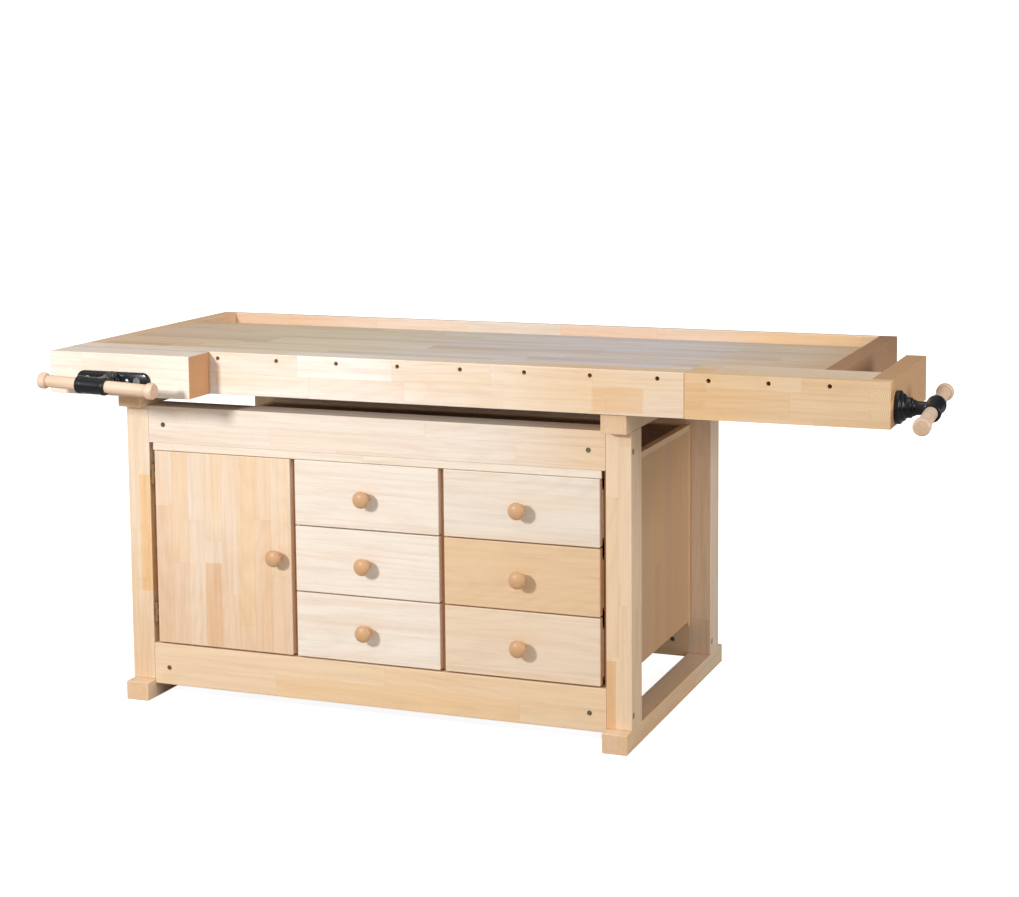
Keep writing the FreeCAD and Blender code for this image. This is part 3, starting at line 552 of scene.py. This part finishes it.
def surface_piece(name, points, material, body, cap_start=True, cap_end=True, ring=False):
    """A piece from a grid of points, one row for each ring round it.

    points has the shape (rings, steps, 3). Neighbouring rings are joined by quads, each ring
    closes on itself, and the two ends are closed by a fan to the ring's mean point. With ring
    True the last ring joins the first instead, as in a tube with walls.
    """
    rings, steps = points.shape[:2]
    vertices = points.reshape(-1, 3)
    row = np.arange(rings if ring else rings - 1)[:, None]
    step = np.arange(steps)[None, :]
    after = (step + 1) % steps
    above = (row + 1) % rings
    quads = np.stack([row * steps + step, row * steps + after, above * steps + after,
                      above * steps + step], axis=-1).reshape(-1, 4)
    faces = quads.tolist()
    turn = np.arange(steps)
    onward = (turn + 1) % steps
    if not ring and cap_start:
        centre = len(vertices)
        vertices = np.vstack([vertices, points[0].mean(0)])
        faces += np.stack([np.full(steps, centre), onward, turn], axis=-1).tolist()
    if not ring and cap_end:
        centre = len(vertices)
        vertices = np.vstack([vertices, points[-1].mean(0)])
        last = (rings - 1) * steps
        faces += np.stack([np.full(steps, centre), last + turn, last + onward], axis=-1).tolist()
    mesh = bpy.data.meshes.new(name)
    mesh.from_pydata(vertices.tolist(), [], faces)
    mesh.update()
    face_outwards(mesh)
    shade_by_angle(mesh)
    piece = bpy.data.objects.new(name, mesh)
    bpy.context.scene.collection.objects.link(piece)
    give_material(piece, material)
    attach(piece, body)
    return piece


def face_outwards(mesh):
    """Turns a closed mesh whose signed volume is negative, so that its faces point outwards."""
    mesh.calc_loop_triangles()
    count = len(mesh.loop_triangles)
    corners = np.empty(count * 3, np.int32)
    mesh.loop_triangles.foreach_get("vertices", corners)
    places = np.empty(len(mesh.vertices) * 3)
    mesh.vertices.foreach_get("co", places)
    a, b, c = places.reshape(-1, 3)[corners.reshape(-1, 3)].transpose(1, 0, 2)
    if np.einsum("ij,ij->i", a, np.cross(b, c)).sum() < 0:
        mesh.flip_normals()


def shade_by_angle(mesh, sharp=math.radians(38)):
    """Smooth faces, with edges sharp where two faces meet at more than the given angle."""
    mesh.polygons.foreach_set("use_smooth", np.ones(len(mesh.polygons), bool))
    mesh.set_sharp_from_angle(angle=sharp)


def eased_profile(stations, radii, count):
    """A smooth profile through given stations: cubic Hermite pieces with Catmull-Rom slopes.

    Returns the distances along the axis and the radii there, both as arrays.
    """
    stations, radii = np.array(stations, float), np.array(radii, float)
    index = np.arange(len(stations), dtype=float)
    at = np.linspace(0, len(stations) - 1, count)
    low = np.minimum(at.astype(int), len(stations) - 2)
    t = at - low

    def through(values):
        slope = np.gradient(values, index)
        h00 = 2 * t**3 - 3 * t**2 + 1
        h10 = t**3 - 2 * t**2 + t
        return (h00 * values[low] + h10 * slope[low] + (1 - h00) * values[low + 1]
                + (t**3 - t**2) * slope[low + 1])

    return through(stations), np.maximum(through(radii), 0.0)


def around_axis(axis, centre, distances, radii, steps):
    """Rings of a turned shape: at each distance along the axis, a circle of the given radius.

    radii is one number for each ring, or an array (rings, steps) where the section isn't round.
    """
    angle = np.linspace(0, 2 * np.pi, steps, endpoint=False)
    radii = np.asarray(radii, float)
    if radii.ndim == 1:
        radii = radii[:, None] * np.ones(steps)
    first = radii * np.cos(angle)
    second = radii * np.sin(angle)
    line = np.asarray(distances, float)[:, None] * np.ones(steps)
    order = {"x": (line, first, second), "y": (first, line, second), "z": (first, second, line)}
    return np.stack(order[axis], axis=-1) + np.array(centre, float)


def tilted(points, centre, axis, degrees):
    """Points turned about an axis through the centre: the turn times each offset from it."""
    turn = np.array(Matrix.Rotation(math.radians(degrees), 3, axis))
    centre = np.array(centre, float)
    return (points - centre) @ turn.T + centre


def rounded_steps(corners, round_size, bend=5):
    """A polygon profile with its inner corners rounded.

    corners are (distance, radius) pairs. Each corner between two legs becomes a quadratic curve
    that starts and ends one round_size along the legs, or nearly half a leg where it is shorter.
    """
    corners = np.array(corners, float)
    path = [corners[0]]
    for before, here, after in zip(corners[:-2], corners[1:-1], corners[2:]):
        back, on = before - here, after - here
        leg = min(round_size, 0.45 * np.hypot(*back), 0.45 * np.hypot(*on))
        start = here + back / np.hypot(*back) * leg
        stop = here + on / np.hypot(*on) * leg
        t = np.linspace(0, 1, bend)[:, None]
        path.extend((1 - t)**2 * start + 2 * t * (1 - t) * here + t**2 * stop)
    path.append(corners[-1])
    path = np.array(path)
    return path[:, 0], path[:, 1]


def mirrored(end, middle=()):
    """A profile of one end, what lies between, and the same end turned round."""
    return [*end, *middle, *[(-distance, radius) for distance, radius in reversed(end)]]


# ---------------------------------------------------------------- boards

def block(x, y, z, tone, strength=1.0, soft=0.0012):
    """One block of another tone, of painted shade or of painted highlight between two corners, from
    its spans along X, Y and Z.
    """
    low, high = zip(x, y, z)
    return low, high, tone, strength, soft


def board_plan():
    """Every wooden node with its grain axis, stave axis, stave width, block length and tones."""
    wood = bpy.context.scene.bench_wood
    pale, honey, rose, brown, top, shaded, lining = (
        Vector(getattr(wood, name)) for name in
        ("pale", "honey", "rose", "brown", "worn_top", "shaded", "lining"))
    white, amber = Vector((0.93, 0.88, 0.81)), Vector((0.86, 0.60, 0.30))
    grey, olive = Vector((0.72, 0.67, 0.65)), Vector((0.72, 0.64, 0.48))
    slate, umber = Vector((0.50, 0.47, 0.50)), Vector((0.52, 0.33, 0.19))
    tan = honey.lerp(brown, 0.25)
    plan = {}

    def say(nodes, grain, staves, width, length, light, warm, **more):
        for node in nodes.split():
            plan[node] = dict(grain=grain, staves=staves, stave_width=width, block_length=length,
                              pale=light, warm=warm, **more)

    def warmer(part):
        return pale.lerp(honey, part)

    # trestles
    say("foot_left foot_right", "y", "x", 0.031, 0.7, warmer(0.50), tan, spread=0.6, ends=0.35)
    say("bearer_left bearer_right", "y", "x", 0.031, 0.7, warmer(0.50), tan, spread=0.6,
        ends=0.45)
    # painted shade: the post's second block darkens it towards the bottom, where less light falls
    say("post_front_left", "z", "x", 0.030, 0.42, warmer(0.22), honey, spread=0.35, shift=0.0289,
        blocks=[block((-0.889, 9.0), EVERYWHERE, (0.265, 0.552), (1.0, 0.84, 0.62)),
                block(EVERYWHERE, EVERYWHERE, (-9.0, 0.32), (0.93, 0.86, 0.77), 0.9, 0.24)])
    say("post_front_right", "z", "x", 0.030, 0.36, warmer(0.52), honey, spread=0.30, shift=-0.001,
        blocks=[block((-9.0, 0.3235), EVERYWHERE, (-1.0, 0.203), (0.93, 0.78, 0.60))])
    say("post_rear_left post_rear_right", "z", "y", 0.03, 0.42, warmer(0.36), tan, spread=0.3)
    say("rail_front_top rail_rear_top", "x", "z", 0.0435, 0.62, pale, rose, spread=0.25,
        shift=0.012, drift=[(-0.55, pale), (0.0, pale), (0.30, warmer(0.62))])
    say("rail_front_bottom rail_rear_bottom", "x", "z", 0.05, 0.62, warmer(0.62), honey,
        spread=0.45, shift=0.012, rose=warmer(0.50))
    # painted shade: the battens and runners are coloured dark for the shade they lie in
    say("top_battens drawer_runners", "y", "x", 0.04, 0.7, shaded, shaded * 0.8)

    # apron and jaws
    say("apron", "x", "z", 0.050, 0.24, pale, honey, spread=0.22, shift=0.034,
        drift=[(-0.62, white), (-0.32, white), (-0.05, warmer(0.16)), (0.27, warmer(0.58)),
               (0.42, warmer(0.40))],
        blocks=[block((0.285, 0.402), EVERYWHERE, (0.772, 0.826), (0.96, 0.84, 0.70), 0.9, 0.006)])
    say("front_jaw", "x", "z", 0.052, 0.34, pale, rose, spread=0.12, shift=0.05,
        end_tone=(0.62, 0.26, 0.085))
    say("tail_jaw_front", "x", "z", 0.052, 0.28, honey, warmer(0.6), spread=0.5, shift=0.05,
        rose=tan, drift=[(0.52, honey), (0.78, warmer(0.72))])
    say("tail_jaw_block", "y", "z", 0.052, 0.3, warmer(0.7), tan, ends=0.25)
    say("tail_end_plate", "y", "z", 0.052, 0.3, brown.lerp(honey, 0.4) * 0.86, brown * 0.86,
        ends=0.9, spread=0.7, end_tone=(0.95, 0.72, 0.44), rose=brown * 0.8)

    # top and its rim
    say("end_cap_left", "y", "z", 0.052, 0.35, warmer(0.50), tan)
    # painted shade: the right end cap is coloured much darker than the left one, for the shade on
    # its right face
    say("end_cap_right", "y", "z", 0.052, 0.35, brown * 0.66, brown * 0.50, spread=0.7,
        rose=brown * 0.5)
    say("tray_back", "x", "z", 0.052, 0.26, pale, rose, spread=0.8, shift=0.05,
        drift=[(-0.85, honey), (-0.62, pale), (0.0, pale * 0.86), (0.3, pale.lerp(rose, 0.5)),
               (0.55, amber)])
    # the top's grey and slate tones are partly its own greyed wood and partly painted sheen
    say("top_slab", "x", "y", 0.048, 0.42, top, umber, spread=0.34, shine=0.0, rose=slate,
        streak=1.6, dullness=0.52,
        drift=[(-0.95, top.lerp(honey, 0.35)), (-0.5, olive), (0.1, grey), (0.40, grey),
               (0.62, top * 0.94), (0.80, top.lerp(tan, 0.5) * 0.84)])
    say("tail_jaw_top", "x", "y", 0.036, 0.3, top, top.lerp(honey, 0.5), spread=0.7, shine=0.0,
        streak=0.9, dullness=0.52)
    say("tray_bottom", "x", "y", 0.07, 0.5, top, top.lerp(honey, 0.4), shine=0.0, dullness=0.5)

    # cupboard: painted highlight lightens the side panels' top edges, and painted shade darkens the
    # board over the drawers behind its front edge
    panel_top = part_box("side_panel_right")[1].z
    front_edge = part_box("cabinet_top")[0].y + 0.004
    # painted highlight: the block lightens and blues the top 14 mm of the side panels
    say("side_panel_left side_panel_right", "z", "y", 0.046, 0.75, brown.lerp(honey, 0.55) * 0.86,
        brown.lerp(honey, 0.1) * 0.86, spread=0.7, rose=brown.lerp(olive, 0.25) * 0.86,
        blocks=[block(EVERYWHERE, EVERYWHERE, (panel_top - 0.014, 9.0), (1.30, 1.50, 1.75), 0.8,
                      0.003)])
    say("cabinet_back", "z", "x", 0.09, 0.8, brown.lerp(honey, 0.6), brown.lerp(honey, 0.25),
        rose=brown.lerp(honey, 0.8))
    say("cabinet_bottom shelf", "x", "y", 0.06, 0.5, brown.lerp(honey, 0.5), brown)
    # painted shade: the block darkens the board behind its front edge, where it lies in the shade
    # under the top
    say("cabinet_top", "x", "y", 0.06, 0.5, warmer(0.12), warmer(0.22), spread=0.3,
        blocks=[block(EVERYWHERE, (front_edge, 9.0), EVERYWHERE, (0.30, 0.17, 0.09))])
    say("partitions", "z", "y", 0.06, 0.6, brown.lerp(honey, 0.2), brown)
    # painted shade: the door's last block darkens it towards the bottom, where less light falls
    say("door", "z", "x", 0.0445, 0.46, pale, honey, spread=0.50, shift=-0.001, streak=0.9,
        drift=[(-0.85, pale.lerp(rose, 0.50)), (-0.66, warmer(0.20)), (-0.50, warmer(0.40))],
        blocks=[block((-0.7120, -0.6675), EVERYWHERE, (0.0, 0.348), (0.93, 0.80, 0.68)),
                block(EVERYWHERE, EVERYWHERE, (-9.0, 0.36), (0.93, 0.87, 0.80), 0.8, 0.24)])
    fronts = zip(DRAWERS, (pale, pale, pale, warmer(0.36) * 0.97, warmer(0.72) * 0.94,
                           warmer(0.05) * 0.95),
                 (rose, rose, rose, tan, tan, tan), (0.15, 0.12, 0.15, 0.25, 0.22, 0.18))
    for node, light, warm, spread in fronts:
        say(node, "x", "z", 0.155, 9.0, light, warm, spread=spread, figure=0.11, streak=1.0,
            rose=light.lerp(rose, 0.4), ends=0.2)
    # painted shade: the lining is coloured dark brown for the jaw's shadow on the apron
    say("front_jaw_lining", "x", "z", 0.1, 0.8, lining, lining * 0.6)
    return plan


class BENCH_OT_boards(bpy.types.Operator):
    """Give every board of the bench its own wood, with its grain the way the board was sawn"""

    bl_idname = "bench.boards"
    bl_label = "Finish Boards"

    def execute(self, context):
        for number, (node, wood) in enumerate(board_plan().items()):
            low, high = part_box(node)
            separate = node in ("top_battens", "drawer_runners", "partitions")
            material = wood_material("wood_" + node, seed=float(number + 1),
                                     box=None if separate else (low, high), **wood)
            give_material(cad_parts[node], material)
        return {"FINISHED"}


# ---------------------------------------------------------------- turned wood

def turned_material(name, axis, seed, tone):
    """Turned wood whose grain runs along the piece."""
    staves = "z" if axis != "z" else "x"
    tone = Vector(tone)
    return wood_material(name, axis, staves, 0.5, 0.9, tone, tone * 0.75, spread=0.4, seed=seed,
                         figure=0.3, shine=0.35, shift=0.21, ends=0.25, rose=tone)


class BENCH_OT_knobs(bpy.types.Operator):
    """Turn a mushroom knob for each drawer and for the door"""

    bl_idname = "bench.knobs"
    bl_label = "Turn Knobs"

    def execute(self, context):
        turning = context.scene.bench_turning
        tone = context.scene.bench_wood.turned
        knobs = [(node + "_knob", node + "_box") for node in DRAWERS] + [("door_knob", "door_leaf")]
        for number, (node, body) in enumerate(knobs):
            low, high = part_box(node)
            reach, head = high.y - low.y, (high.x - low.x) / 2
            stations = np.array([0.0, 0.06, 0.20, 0.36, 0.48, 0.60, 0.74, 0.88, 0.96, 1.0])
            radii = np.array([0.60, 0.50, 0.42, 0.47, 0.72, 0.96, 0.99, 0.80, 0.45, 0.0])
            along, around = eased_profile(stations * reach, radii * head, turning.along)
            centre = (middle_of(node).x, high.y, middle_of(node).z)
            points = around_axis("y", centre, -along, np.minimum(around, head), turning.around)
            material = turned_material("turned_" + node, "y", number + 40.0, tone)
            piece = surface_piece("turned_" + node, points, material, body,
                                  cap_end=False)
            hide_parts(node)
        return {"FINISHED"}


class BENCH_OT_handles(bpy.types.Operator):
    """Turn the two sliding vise handles, with a knob and a groove at each end"""

    bl_idname = "bench.handles"
    bl_label = "Turn Handles"

    def execute(self, context):
        turning = context.scene.bench_turning
        half, knob, bar = HANDLE_LENGTH / 2, HANDLE_END_RADIUS, HANDLE_BAR_RADIUS
        end = [(-half, 0.0), (-half, knob * 0.86), (-half + 0.004, knob),
               (-half + 0.0155, knob), (-half + 0.0175, knob * 0.93),
               (-half + 0.0195, knob * 0.88), (-half + 0.0200, bar * 0.90),
               (-half + 0.0225, bar * 0.90), (-half + 0.0245, bar * 0.99)]
        along, around = rounded_steps(mirrored(end, [(0.0, bar)]), 0.0022)
        for number, (name, vise) in enumerate(VISES.items()):
            node, axis = name + "_handle", vise["hub_axis"]
            centre = middle_of(node)
            straight = around_axis(axis, centre, along, around, turning.around)
            points = tilted(straight, centre, vise["tilt_axis"], vise["tilt"])
            material = turned_material("turned_" + node, axis, number + 60.0,
                                       context.scene.bench_wood.handle)
            piece = surface_piece("turned_" + node, points, material, name + "_handle_bar",
                                  cap_start=False, cap_end=False)
            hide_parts(node)
        return {"FINISHED"}


# ---------------------------------------------------------------- ironwork

def threaded_rod(axis, centre, start, stop, pitch, depth, steps=28, samples=9):
    """A screw thread: the radius falls from crest to root as a clipped wave of height and angle.

    With h the distance along the rod and a the angle round it, the phase is h over the pitch
    minus a over a full turn. The radius is the crest less the depth times a wave of that phase,
    clipped flat at crest and root as a vise's square-cut thread is. It fades out at both ends.
    """
    turns = abs(stop - start) / pitch
    along = np.linspace(start, stop, int(turns * samples))
    angle = np.linspace(0, 1, steps, endpoint=False)
    wave = np.cos(2 * np.pi * (along[:, None] / pitch - angle[None, :]))
    groove = np.clip(0.5 - 1.6 * wave, 0, 1)
    fade = np.clip(np.minimum(along - min(start, stop), max(start, stop) - along) / pitch, 0, 1)
    radii = SCREW_RADIUS - depth * (1 - fade[:, None] * (1 - groove))
    return around_axis(axis, centre, along, radii, steps)


class BENCH_OT_screws(bpy.types.Operator):
    """Make each vise's screw: a cross hub that holds the handle, a neck, and a threaded rod"""

    bl_idname = "bench.screws"
    bl_label = "Make Vise Screws"

    def execute(self, context):
        iron = context.scene.bench_iron
        turning = context.scene.bench_turning
        black = iron_material("blackened_screw")
        bright = steel_material("thread_steel", iron.steel)
        half, rim = HUB_LENGTH / 2, iron.rim
        end = [(-half, HUB_BORE), (-half, HUB_RADIUS * 0.9), (-half + rim, HUB_RADIUS),
               (-half + 0.010, HUB_RADIUS), (-half + 0.012, HUB_RADIUS * 0.93)]
        hub_along, hub_around = rounded_steps(mirrored(end), 0.0016)
        for name, vise in VISES.items():
            body = name + "_screw_turn"
            low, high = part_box(name + "_screw")
            index, out = AXES[vise["axis"]], vise["out"]
            tip, far = (high[index], low[index]) if out > 0 else (low[index], high[index])
            hub_place = tip - out * HUB_RADIUS
            centre = middle_of(name + "_screw")
            centre[index] = hub_place
            straight = around_axis(vise["hub_axis"], centre, hub_along, hub_around, turning.around)
            points = tilted(straight, centre, vise["tilt_axis"], vise["tilt"])
            hub = surface_piece(name + "_screw_hub", points, black, body, ring=True)
            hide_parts(name + "_screw")

            casting_low, casting_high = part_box(vise["casting"])
            face = casting_high[index] if out > 0 else casting_low[index]
            neck_stop = abs(face - hub_place) - 0.0003
            reach = np.array([0.0, 0.35, 0.62, 0.84, 0.90, 1.0]) * neck_stop
            widths = np.array([0.90, 0.82, 0.80, 0.86, 1.0, 1.0]) * NECK_RADIUS
            along, around = rounded_steps(list(zip(reach, widths)), 0.003)
            points = around_axis(vise["axis"], centre, -out * along, around, turning.around)
            seat = np.sqrt(np.maximum((HUB_RADIUS * 0.87)**2 - (points[:, :, 2] - centre[2])**2, 0))
            started = centre[index] - out * seat
            reached = points[:, :, index]
            points[:, :, index] = np.where((reached - started) * -out > 0, reached, started)
            surface_piece(name + "_screw_neck", points, black, body)

            inner = abs(middle_of(vise["casting"])[index] - hub_place) - 0.006
            rod = threaded_rod(vise["axis"], centre, -out * inner, far - hub_place,
                               iron.thread_pitch, iron.thread_depth)
            surface_piece(name + "_screw_thread", rod, bright, body)
        return {"FINISHED"}


def stadium_outline(centre, half_width, half_height, steps):
    """A bar with round ends: a circle of the half height whose two halves stand apart.

    A point is the circle's point plus, along X, the sign of its cosine times the half width less
    the half height.
    """
    angle = (np.arange(steps) + 0.5) * 2 * np.pi / steps
    x = np.cos(angle) * half_height + np.sign(np.cos(angle)) * (half_width - half_height)
    z = np.sin(angle) * half_height
    return np.stack([centre[0] + x, centre[1] + z], axis=-1)


class BENCH_OT_front_plate(bpy.types.Operator):
    """Make the front vise's cast plate: rounded corners, bevelled edge, boss, and slotted screws"""

    bl_idname = "bench.front_plate"
    bl_label = "Make Front Plate"

    def execute(self, context):
        iron = context.scene.bench_iron
        steps = context.scene.bench_turning.around * 2
        low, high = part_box("front_vise_plate")
        screw = middle_of("front_screw")
        back, boss_face = high.y, low.y
        face = back - PLATE_THICKNESS
        hub = (screw.x, screw.z)
        half_width, half_height = PLATE_WIDTH / 2, PLATE_HEIGHT / 2
        outer = stadium_outline(hub, half_width, half_height, steps)
        inset = stadium_outline(hub, half_width - 0.0012, half_height - 0.0012, steps)
        shelf = stadium_outline(hub, half_width - 0.0035, half_height - 0.0035, steps)
        bore = stadium_outline(hub, CASTING_BORE, CASTING_BORE, steps)
        rows = [(bore, back), (outer, back), (outer, face + 0.0035), (inset, face + 0.0014),
                (shelf, face), (bore, face)]
        points = np.stack([np.insert(ring, 1, depth, axis=1) for ring, depth in rows])
        black = iron_material("blackened_plate")
        plate = surface_piece("cast_front_plate", points, black, "front_jaw_slide",
                              ring=True)
        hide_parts("front_vise_plate")
        reach = face - boss_face
        profile = [(-0.002, CASTING_BORE), (-0.002, 0.0218), (reach * 0.35, 0.0218),
                   (reach * 0.45, 0.0205), (reach - 0.002, 0.0200), (reach, 0.0185),
                   (reach, CASTING_BORE)]
        along, around = rounded_steps(profile, 0.0012)
        points = around_axis("y", (screw.x, face, screw.z), -along, around, steps)
        surface_piece("cast_front_boss", points, black, "front_jaw_slide", ring=True)
        steel = steel_material("plate_screw_steel", iron.steel)
        for number, offset in enumerate(PLATE_SCREWS):
            points = slotted_head((screw.x + offset, face, screw.z), iron.screw_head, 0.0026,
                                  "y", -1.0, 0.6 * number)
            surface_piece("plate_screw_%d" % (number + 1), points, steel, "front_jaw_slide")
        return {"FINISHED"}


def slotted_head(centre, radius, height, axis, out, turned=0.0, steps=48):
    """A domed head with a slot: the inner rings are squeezed to a slot and dropped below the dome.

    A ring at share s of the radius stands at height times the root of 1 less s squared. The
    slot's rim is a ring with the half width w over the sine of the angle as its radius, where
    that is smaller than the dome, and the slot's floor repeats it lower down.
    """
    angle = np.linspace(0, 2 * np.pi, steps, endpoint=False)
    across = np.maximum(np.abs(np.sin(angle - turned)), 1e-6)
    slot = np.minimum(0.13 * radius / across, radius * 0.86)
    shares = np.array([1.0, 1.0, 0.97, 0.93])
    rises = np.array([-0.25, 0.10, 0.30, 0.45]) * height
    radii = [part * radius * np.ones(steps) for part in shares]
    tops = list(rises[:, None] * np.ones(steps))
    for blend in (0.35, 0.7, 1.0):
        ring = radii[3] * (1 - blend) + slot * blend
        radii.append(ring)
        tops.append(height * (0.45 + 0.55 * np.sqrt(1 - (ring / radius)**2)))
    radii.append(slot * 0.98)
    tops.append(np.full(steps, height * 0.15))
    radii, tops = np.array(radii), np.array(tops)
    points = around_axis(axis, centre, np.zeros(len(radii)), radii, steps)
    points[:, :, AXES[axis]] += out * tops
    return points


class BENCH_OT_collar(bpy.types.Operator):
    """Turn the tail vise's cast collar: a flange with a raised ring and a sleeve for the screw"""

    bl_idname = "bench.collar"
    bl_label = "Make Collar"

    def execute(self, context):
        turning = context.scene.bench_turning
        low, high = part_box("tail_collar")
        centre = middle_of("tail_screw")
        centre.x = low.x
        flange = (high.z - low.z) / 2
        reach = high.x - low.x
        profile = [(0.0, CASTING_BORE), (0.0, flange), (0.0090, flange), (0.0120, flange * 0.94),
                   (0.0125, 0.0300), (0.0170, 0.0292), (0.0200, 0.0265), (0.0206, 0.0232),
                   (0.0240, 0.0221), (reach - 0.0015, 0.0217), (reach, 0.0200),
                   (reach, CASTING_BORE)]
        along, around = rounded_steps(profile, 0.0016)
        points = around_axis("x", centre, along, around, turning.around)
        collar = surface_piece("cast_tail_collar", points, iron_material("blackened_collar"),
                               "tail_jaw_slide", ring=True)
        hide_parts("tail_collar")
        return {"FINISHED"}


# ---------------------------------------------------------------- small metal

class BENCH_OT_metal(bpy.types.Operator):
    """Finish the guide bars, the vise nuts, the hinges and the rails' bolts"""

    bl_idname = "bench.metal"
    bl_label = "Finish Small Metal"

    def execute(self, context):
        iron = context.scene.bench_iron
        finishes = (
            (steel_material("bar_steel", iron.steel), "front_guide_bars tail_guide_bars"),
            (steel_material("fitting_steel", (0.26, 0.21, 0.13)), "rail_fittings"),
            (steel_material("hinge_bronze", (0.55, 0.33, 0.17)),
             "door_hinge_knuckles post_hinge_knuckles"),
            (iron_material("blackened_nut"), "front_vise_nut tail_vise_nut"))
        for material, nodes in finishes:
            for node in nodes.split():
                give_material(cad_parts[node], material)
        return {"FINISHED"}


# ---------------------------------------------------------------- studio

def studio_material(floor_lift):
    """A floor that the camera sees as near white, and that throws little light back up."""
    material, wiring, shader = new_material("studio_floor")
    seen = wiring.add("ShaderNodeLightPath").outputs["Is Camera Ray"]
    coordinates = wiring.add("ShaderNodeTexCoord")
    distance = wiring.vector("LENGTH", coordinates.outputs["Object"], (0.0, 0.0, 0.0))
    glow = wiring.smooth(distance.outputs["Value"], 1.6, 6.5, floor_lift, 1.0)
    grey, white = (0.42, 0.41, 0.40, 1.0), (0.86, 0.86, 0.85, 1.0)
    wiring.link(wiring.mix(seen, grey, white), shader.inputs["Base Color"])
    shader.inputs["Roughness"].default_value = 0.85
    shader.inputs["Specular IOR Level"].default_value = 0.1
    shader.inputs["Emission Color"].default_value = (1.0, 1.0, 1.0, 1.0)
    wiring.link(wiring.times(glow, seen), shader.inputs["Emission Strength"])
    return material


def surround(strength):
    """White where the camera looks past the floor; as light, brightest from the front left.

    The level is eased from a tenth of the strength to the whole by the dot product of the ray's
    direction and the way to the brightest side.
    """
    world = bpy.data.worlds.new("studio")
    world.use_nodes = True
    wiring = Wiring(world.node_tree)
    sky = world.node_tree.nodes["Background"]
    sky.inputs["Color"].default_value = (1.0, 1.0, 1.0, 1.0)
    camera_ray = wiring.add("ShaderNodeLightPath").outputs["Is Camera Ray"]
    ray = wiring.add("ShaderNodeTexCoord").outputs["Generated"]
    toward = wiring.vector("DOT_PRODUCT", ray, (-0.30, -0.60, 0.74)).outputs["Value"]
    level = wiring.smooth(toward, -0.5, 0.9, 0.1 * strength, strength)
    seen = wiring.smooth(camera_ray, 0.0, 1.0)
    wiring.link(wiring.math("MAXIMUM", level, seen), sky.inputs["Strength"])
    return world


def soft_light(name, place, aim, width, power):
    """A square soft box that looks at a point."""
    light = bpy.data.lights.new(name, "AREA")
    light.shape = "SQUARE"
    light.size = width
    light.energy = power
    lamp = bpy.data.objects.new(name, light)
    lamp.location = place
    lamp.rotation_euler = (Vector(aim) - Vector(place)).to_track_quat("-Z", "Y").to_euler()
    bpy.context.scene.collection.objects.link(lamp)
    return lamp


class BENCH_OT_studio(bpy.types.Operator):
    """Set the camera, the soft lights and the white floor"""

    bl_idname = "bench.studio"
    bl_label = "Set Studio"

    def execute(self, context):
        studio = context.scene.bench_studio
        mesh = bpy.data.meshes.new("studio_floor")
        half = FLOOR_HALF_WIDTH
        corners = [(-half, -half, 0), (half, -half, 0), (half, half, 0), (-half, half, 0)]
        mesh.from_pydata(corners, [], [(0, 1, 2, 3)])
        floor = bpy.data.objects.new("studio_floor", mesh)
        context.scene.collection.objects.link(floor)
        give_material(floor, studio_material(studio.floor_lift))
        context.scene.world = surround(studio.sky)
        soft_light("key", (-1.35, -2.90, 1.65), (-0.20, -0.30, 0.60), 0.30, studio.key_power)
        soft_light("overhead", (-0.20, -0.20, 3.20), (-0.20, 0.0, 0.0), 2.4, studio.over_power)
        soft_light("side", (4.60, -0.90, 1.70), (0.40, 0.0, 0.5), 2.0, studio.side_power)

        camera = bpy.data.cameras.new("camera")
        camera.sensor_width = 36.0
        camera.sensor_fit = "HORIZONTAL"
        camera.lens = studio.lens
        camera.shift_y = studio.shift
        camera.clip_end = 200.0
        holder = bpy.data.objects.new("camera", camera)
        context.scene.collection.objects.link(holder)
        turn, dip, roll = studio.turn, studio.dip, studio.roll
        level = math.cos(dip)
        ahead = Vector((-math.sin(turn) * level, math.cos(turn) * level, -math.sin(dip)))
        right = Vector((math.cos(turn), math.sin(turn), 0.0))
        up = right.cross(ahead)
        rolled_right = right * math.cos(roll) - up * math.sin(roll)
        rolled_up = right * math.sin(roll) + up * math.cos(roll)
        axes = Matrix((rolled_right, rolled_up, -ahead)).transposed()
        holder.matrix_world = Matrix.Translation(Vector(studio.eye)) @ axes.to_4x4()
        context.scene.camera = holder
        context.scene.view_settings.view_transform = "Standard"
        return {"FINISHED"}


# ---------------------------------------------------------------- panel

class BENCH_PT_workbench(bpy.types.Panel):
    """Sizes, colours and steps of the workbench"""

    bl_idname = "BENCH_PT_workbench"
    bl_label = "Workbench"
    bl_space_type = "VIEW_3D"
    bl_region_type = "UI"
    bl_category = "Workbench"

    def draw(self, context):
        for operator in OPERATORS:
            self.layout.operator(operator.bl_idname)
        for group in SETTINGS:
            box = self.layout.box()
            settings = getattr(context.scene, group)
            for name in settings.__annotations__:
                box.prop(settings, name)


OPERATORS = (BENCH_OT_boards, BENCH_OT_knobs, BENCH_OT_handles, BENCH_OT_screws,
             BENCH_OT_front_plate, BENCH_OT_collar, BENCH_OT_metal, BENCH_OT_studio)


def register():
    """Registers the settings, the operators and the panel."""
    for name, settings in SETTINGS.items():
        bpy.utils.register_class(settings)
        setattr(bpy.types.Scene, name, PointerProperty(type=settings))
    for item in (*OPERATORS, BENCH_PT_workbench):
        bpy.utils.register_class(item)


def unregister():
    """Removes what register added."""
    for item in reversed((*OPERATORS, BENCH_PT_workbench)):
        bpy.utils.unregister_class(item)
    for name, settings in reversed(SETTINGS.items()):
        delattr(bpy.types.Scene, name)
        bpy.utils.unregister_class(settings)


def main():
    """Registers the settings and runs every step in order."""
    register()
    for operator in OPERATORS:
        prefix, name = operator.bl_idname.split(".")
        getattr(getattr(bpy.ops, prefix), name)()


if __name__ == "__main__":
    main()
